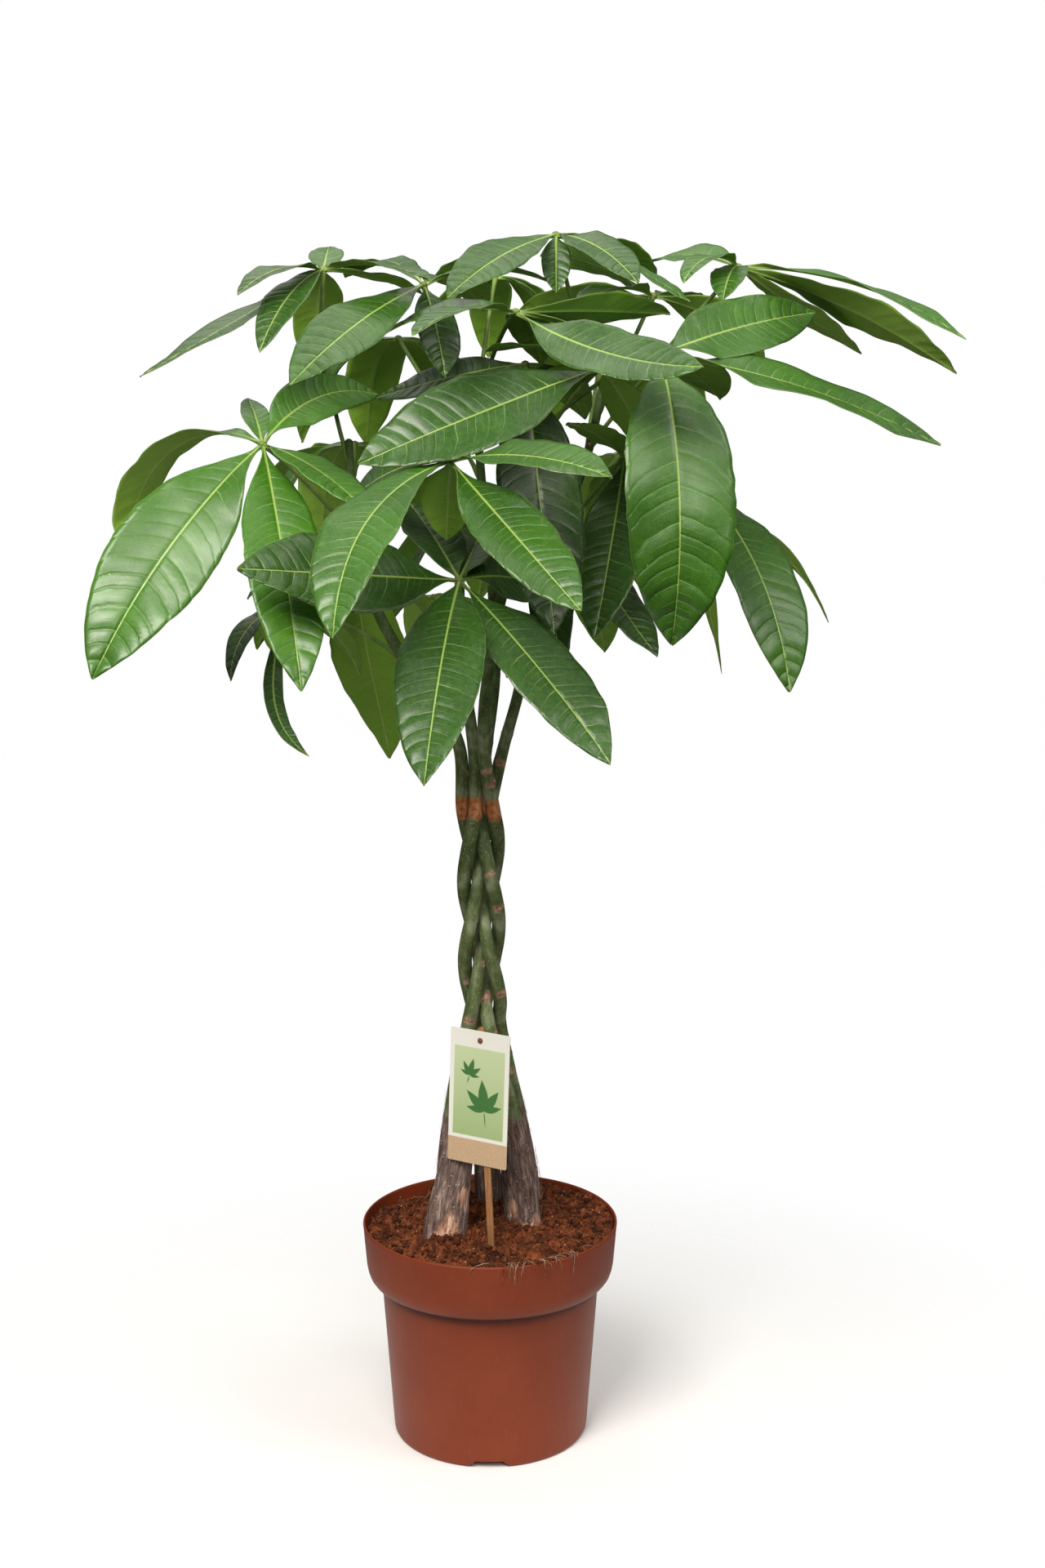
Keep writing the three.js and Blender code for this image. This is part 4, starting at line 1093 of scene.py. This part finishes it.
def crumbs(skin):
    draw = np.random.default_rng(71)
    made = Piece("soil_crumbs")
    for _ in range(CRUMBS):
        x, y, z = soil_spot(draw)
        size = 0.8 + 5.5 * draw.beta(1.1, 5)
        points, faces = lump(draw, size)
        made.add(points + [x, y, z + size * 0.25], faces, 0, own=float(draw.beta(2, 3)))
    return made.build(None, [skin])


def lying_fibre(draw):
    """A loose fibre that lies on the soil."""
    x, y, _ = soil_spot(draw)
    turned = draw.uniform(0, 6.28)
    length = 3 + 15 * draw.beta(1.1, 4)
    t = np.linspace(-0.5, 0.5, 9)
    bend = turned + t * draw.normal() * 2.2
    steps = np.column_stack([np.cos(bend), np.sin(bend)]) * length / 9
    flat = np.cumsum(steps, axis=0) + [x, y]
    flat = flat * np.minimum(1, (SOIL_WALL - 1) / np.hypot(*flat.T))[:, None]
    rise = soil_surface(*flat.T) + 0.5 + draw.uniform(0, 3) * (1 - (2 * t) ** 2)
    thick = (1 - 1.2 * np.abs(t)) * draw.uniform(0.12, 0.32)
    return tube(np.column_stack([flat, rise]), thick, 5, (0.1, 0.2, 1))


def hanging_fibre(draw):
    """A fibre that hangs over the front of the rim."""
    bearing = math.radians(draw.normal(-68, 16))
    t = np.linspace(0, 0.45 + 0.55 * draw.uniform(0.3, 1), 12)
    line = smooth([[i / 5, *row] for i, row in enumerate(RIM_PATH)], t)
    swing = bearing + t * draw.normal() * 0.09
    thick = np.linspace(1, 0.4, 12) * draw.uniform(0.25, 0.55)
    return tube(polar(swing, line[:, 0], line[:, 1]), thick, 5, (1, 0, 0.1))


def fibres(skin, pale):
    draw = np.random.default_rng(72)
    made = Piece("soil_fibres")
    for _ in range(SOIL_FIBRES):
        made.add(*lying_fibre(draw), 0)
    for i in range(RIM_FIBRES):
        made.add(*hanging_fibre(draw), i % 2)
    return made.build(None, [skin, pale])


# ---------------------------------------------------------------- pot


def cutter(name, points, faces):
    mesh = bpy.data.meshes.new(name)
    corners = [tuple(map(int, face)) for group in faces for face in group]
    mesh.from_pydata([tuple(point) for point in points * MM], [], corners)
    made = bpy.data.objects.new(name, mesh)
    bpy.context.scene.collection.objects.link(made)
    return made


def cut(body, tools):
    """Cuts the tools out of a body and takes them away."""
    for tool in tools:
        change = body.modifiers.new("cut", "BOOLEAN")
        change.operation = "DIFFERENCE"
        change.solver = "EXACT"
        change.object = tool
    graph = bpy.context.evaluated_depsgraph_get()
    shaped = bpy.data.meshes.new_from_object(body.evaluated_get(graph))
    body.modifiers.clear()
    body.data = shaped
    for tool in tools:
        bpy.data.objects.remove(tool)


def notch(i):
    """The body that cuts one drain notch into the foot ring."""
    narrow, wide = NOTCH_HALF_WIDTHS
    corners = [[-wide, -1], [wide, -1], [narrow, NOTCH_HEIGHT], [-narrow, NOTCH_HEIGHT]]
    box = np.array([[x, y, z] for y in (-96, -73) for x, z in corners], float)
    turn = np.array(Matrix.Rotation(2 * math.pi * i / NOTCH_COUNT, 3, "Z"))
    faces = [[(0, 1, 2, 3), (7, 6, 5, 4), (0, 4, 5, 1), (1, 5, 6, 2), (2, 6, 7, 3), (3, 7, 4, 0)]]
    return cutter("notch", box @ turn.T, faces)


def drain(i):
    """The body that cuts one drain hole through the floor."""
    angle = 2 * math.pi * (i + 0.5) / DRAIN_COUNT
    points, faces = lathe([[DRAIN_RADIUS, 4], [DRAIN_RADIUS, 16]], 40)
    return cutter("drain", points + polar(angle, DRAIN_CIRCLE, 0), faces)


def pot(skin):
    profile = CENTRE_FOOT + [[POT_OUTSIDE[0][0] - 0.4, FLOOR_UNDERSIDE]] + POT_OUTSIDE + POT_INSIDE
    made = Piece("pot")
    made.add(*lathe(finely(profile, 6), POT_SEGMENTS))
    body = made.build("pot", [skin])
    notches = [notch(i) for i in range(NOTCH_COUNT)]
    drains = [drain(i) for i in range(DRAIN_COUNT)]
    cut(body, notches + drains)
    body.data.set_sharp_from_angle(angle=math.radians(40))
    return body


# ---------------------------------------------------------------- label


def stick(wood, brown):
    """A slim stick with three grooves along each face, pointed below and rounded above."""
    half, deep = STICK_WIDTH / 2, STICK_DEPTH / 2
    x = np.linspace(-half + 0.3, half - 0.3, 45)
    groove = sum(np.exp(-(((x - middle) / 0.28) ** 2)) for middle in (-1.5, 0, 1.5)) * 0.35
    sides = np.array([[half, -deep + 0.35], [half, deep - 0.35]])
    front = np.column_stack([x, -deep + groove])
    section = np.concatenate([front, sides, np.column_stack([x[::-1], deep - groove]), -sides])
    shoulder = STICK_HEIGHT - STICK_CORNER
    rounding = STICK_HEIGHT - STICK_CORNER * (1 - np.sin(np.linspace(0, 1.5, 9)))
    heights = [[-STICK_BURIED, -STICK_BURIED + STICK_POINT], np.linspace(-38, 205, 60), rounding]
    heights = np.concatenate(heights)[:, None]
    above = np.clip(heights - shoulder, 0, None)
    breadth = (half - STICK_CORNER + np.sqrt(np.maximum(STICK_CORNER**2 - above**2, 0))) / half
    breadth[0] = 0.08
    rings = np.stack(np.broadcast_arrays(section[:, 0] * breadth, section[:, 1], heights), -1)
    made = Piece("label_stick")
    made.add(*closed(rings, [0, 0, heights[0, 0]], [0, 0, heights[-1, 0]]))
    return made.build("label_stick", [wood, brown])


def peg(brown):
    head = [[PEG_RADIUS - 0.15, 3], [PEG_RADIUS - 0.6, 3.3], [0.6, 3.42]]
    points, faces = lathe([[PEG_RADIUS, 0], [PEG_RADIUS, 2.6], *head], 32)
    made = Piece("label_peg")
    made.add(np.column_stack([points[:, 0], -0.5 - points[:, 2], points[:, 1] + PEG_HEIGHT]), faces)
    return made.build(None, [brown])


def lobe(x, z, foot, lean, length, width):
    """How far a place lies inside a pointed lobe that grows from a foot, leaning by an angle."""
    c, s = math.cos(math.radians(lean)), math.sin(math.radians(lean))
    along = ((x - foot[0]) * s + (z - foot[1]) * c) / length
    side = np.abs((x - foot[0]) * c - (z - foot[1]) * s)
    inside = width * np.sin(math.pi * np.clip(along, 0, 1) ** 0.8) - side
    return np.where((along > 0) & (along < 1), inside, -1)


def motif_shape(x, z):
    """Where the two plain leaves are printed, each with five lobes and a stalk."""
    inside = np.full_like(x, -1.0)
    for foot, size, turned in MOTIFS:
        for lean, share in MOTIF_LOBES:
            inside = np.maximum(inside, lobe(x, z, foot, lean + turned, size * share, size * 0.17 * share))
        inside = np.maximum(inside, lobe(x, z, foot, 180 + turned, size * 0.55, 0.7))
    return ease(-0.1, 0.35, inside)


def card_places():
    """Places over the card, as [across, up] from its hole, and which of them the hole takes away."""
    across = np.linspace(-0.5, 0.5, CARD_MESH[0]) * CARD_WIDTH
    up = np.linspace(0, 1, CARD_MESH[1]) * CARD_HEIGHT
    flat = np.stack(np.meshgrid(across, up, indexing="ij"), -1)
    middle = np.array([0, CARD_HEIGHT / 2])
    corner = np.array([CARD_WIDTH, CARD_HEIGHT]) / 2 - CARD_CORNER
    over = np.maximum(np.abs(flat - middle) - corner, 0)
    far = np.hypot(over[..., :1], over[..., 1:])
    rounded = middle + np.sign(flat - middle) * (corner + over * CARD_CORNER / np.maximum(far, 1e-6))
    flat = np.where(far > CARD_CORNER, rounded, flat) - [0, CARD_HEIGHT - CARD_HOLE_DROP]
    off = np.hypot(flat[..., :1], flat[..., 1:])
    inside = off < CARD_HOLE_RADIUS - 0.25
    ring = ~inside & (off < CARD_HOLE_RADIUS + 0.3)
    return np.where(ring, flat * CARD_HOLE_RADIUS / np.maximum(off, 1e-6), flat), inside


def card(skin):
    """The card hangs from its hole: x across, y back, z up."""
    flat, inside = card_places()
    x, z = flat[..., 0], flat[..., 1] + CARD_HEIGHT - CARD_HOLE_DROP
    panel = ease(0, 0.7, np.minimum(CARD_WIDTH / 2 - 4 - np.abs(x), np.minimum(z - 26, CARD_HEIGHT - 16 - z)))
    motif = motif_shape(x, z) * panel
    values = {"panel": panel, "motif": motif, "band": 1 - ease(22.6, 23.4, z), "rise": z / CARD_HEIGHT}
    front = np.insert(flat, 1, -CARD_THICKNESS / 2, axis=-1).reshape(-1, 3)
    quads = grid(*CARD_MESH)
    quads = quads[~inside.ravel()[quads].any(axis=1)]
    under = len(front)
    edges = np.concatenate([quads[:, [i, (i + 1) % 4]] for i in range(4)])
    _, first, seen = np.unique(np.sort(edges, axis=1) @ [under, 1], return_index=True, return_counts=True)
    start, end = edges[first[seen == 1]].T
    walls = np.column_stack([end, start, start + under, end + under])
    used = np.unique(np.concatenate([quads, quads + under]))
    renumber = np.zeros(2 * under, int)
    renumber[used] = np.arange(len(used))
    points = np.concatenate([front, front + [0, CARD_THICKNESS, 0]])[used]
    marks = {key: np.concatenate([value.ravel(), np.zeros(under)])[used] for key, value in values.items()}
    made = Piece("plant_label")
    made.add(points, [renumber[quads[:, ::-1]], renumber[quads + under], renumber[walls]], 0, **marks)
    return made.build("plant_label", [skin])


def label(skin, wood, brown):
    """The label on its stick, made in the label's own frame and then stood in the soil."""
    shaft = stick(wood, brown)
    head = peg(brown)
    sheet = card(skin)
    hang = Matrix.Translation(np.array([0, -2.2, PEG_HEIGHT]) * MM)
    sheet.data.transform(hang @ Matrix.Rotation(math.radians(CARD_SWING), 4, "Y"))
    lean = Matrix.Rotation(math.radians(STICK_LEAN), 4, "Y")
    turned = Matrix.Rotation(math.radians(STICK_YAW), 4, "Z") @ lean
    for made in (shaft, head, sheet):
        made.data.transform(Matrix.Translation(np.array(STICK_PLACE) * MM) @ turned)
        made.data.set_sharp_from_angle(angle=math.radians(50))


# ---------------------------------------------------------------- light and camera


def room():
    """A white room. Its light is dim from below and brighter towards the ceiling."""
    world = bpy.data.worlds.new("room")
    nodes = Nodes(world, "Background")
    direction = nodes.node("ShaderNodeTexCoord", {}, "Generated")
    up = nodes.node("ShaderNodeSeparateXYZ", {0: direction}, "Z")
    light = nodes.node("ShaderNodeMapRange", {0: up, 1: -0.3, 2: 0.7, 3: ROOM_LIGHT[0], 4: ROOM_LIGHT[1]})
    seen = nodes.node("ShaderNodeLightPath", {}, "Is Camera Ray")
    strength = nodes.node("ShaderNodeMapRange", {0: seen, 3: light, 4: ROOM_SEEN})
    nodes.feed(Color=ROOM_COLOUR, Strength=strength)
    return world


def floor_paper():
    """White paper round the pot that thins out into the room."""
    look = Look("floor_paper", Specular_IOR_Level=0.1)
    where = look.node("ShaderNodeTexCoord", {}, "Object")
    distance = look.node("ShaderNodeVectorMath", {0: where}, "Value", operation="LENGTH")
    look.feed(Alpha=look.span(distance, *FLOOR_FADE, 1, 0.005))
    return look.finish(PAPER_COLOUR, 0.9)


def studio():
    """A pale floor in a white room, with large soft lights above and in front."""
    scene = bpy.context.scene
    scene.view_settings.view_transform = "Standard"
    scene.world = room()
    bpy.ops.mesh.primitive_plane_add(size=40, location=(0, 0, 0))
    floor = bpy.context.object
    floor.name = "floor"
    floor.data.materials.append(floor_paper())
    for name, place, size, power in SOFT_LIGHTS:
        lamp = bpy.data.lights.new(name, "AREA")
        lamp.size = size
        lamp.energy = power
        lamp.color = LAMP_COLOUR
        made = bpy.data.objects.new(name, lamp)
        made.location = place
        aim = Vector(LAMP_TARGET) - made.location
        made.rotation_euler = aim.to_track_quat("-Z", "Y").to_euler()
        scene.collection.objects.link(made)


def camera():
    lens = bpy.data.cameras.new("camera")
    lens.lens = CAMERA_LENS
    lens.sensor_width = 36
    lens.clip_end = 100
    made = bpy.data.objects.new("camera", lens)
    made.location = CAMERA_PLACE
    made.rotation_euler = (math.radians(90 - CAMERA_DIP), 0, 0)
    bpy.context.scene.collection.objects.link(made)
    bpy.context.scene.camera = made


def main():
    looks = [leaf_top(), leaf_underside(), petiole_skin()]
    skin, fibre = bark(), torn_fibre()
    for number, row in enumerate(LEAVES):
        leaf(number, row, looks)
    for number, name in enumerate(STEMS):
        trunk(name, 200 + number, skin, fibre)
    soil(peat())
    crumbs(peat_crumb())
    fibres(root_fibre(), fibre)
    pot(pot_plastic())
    label(printed_card(), warm_wood(), dark_peg())
    studio()
    camera()


main()
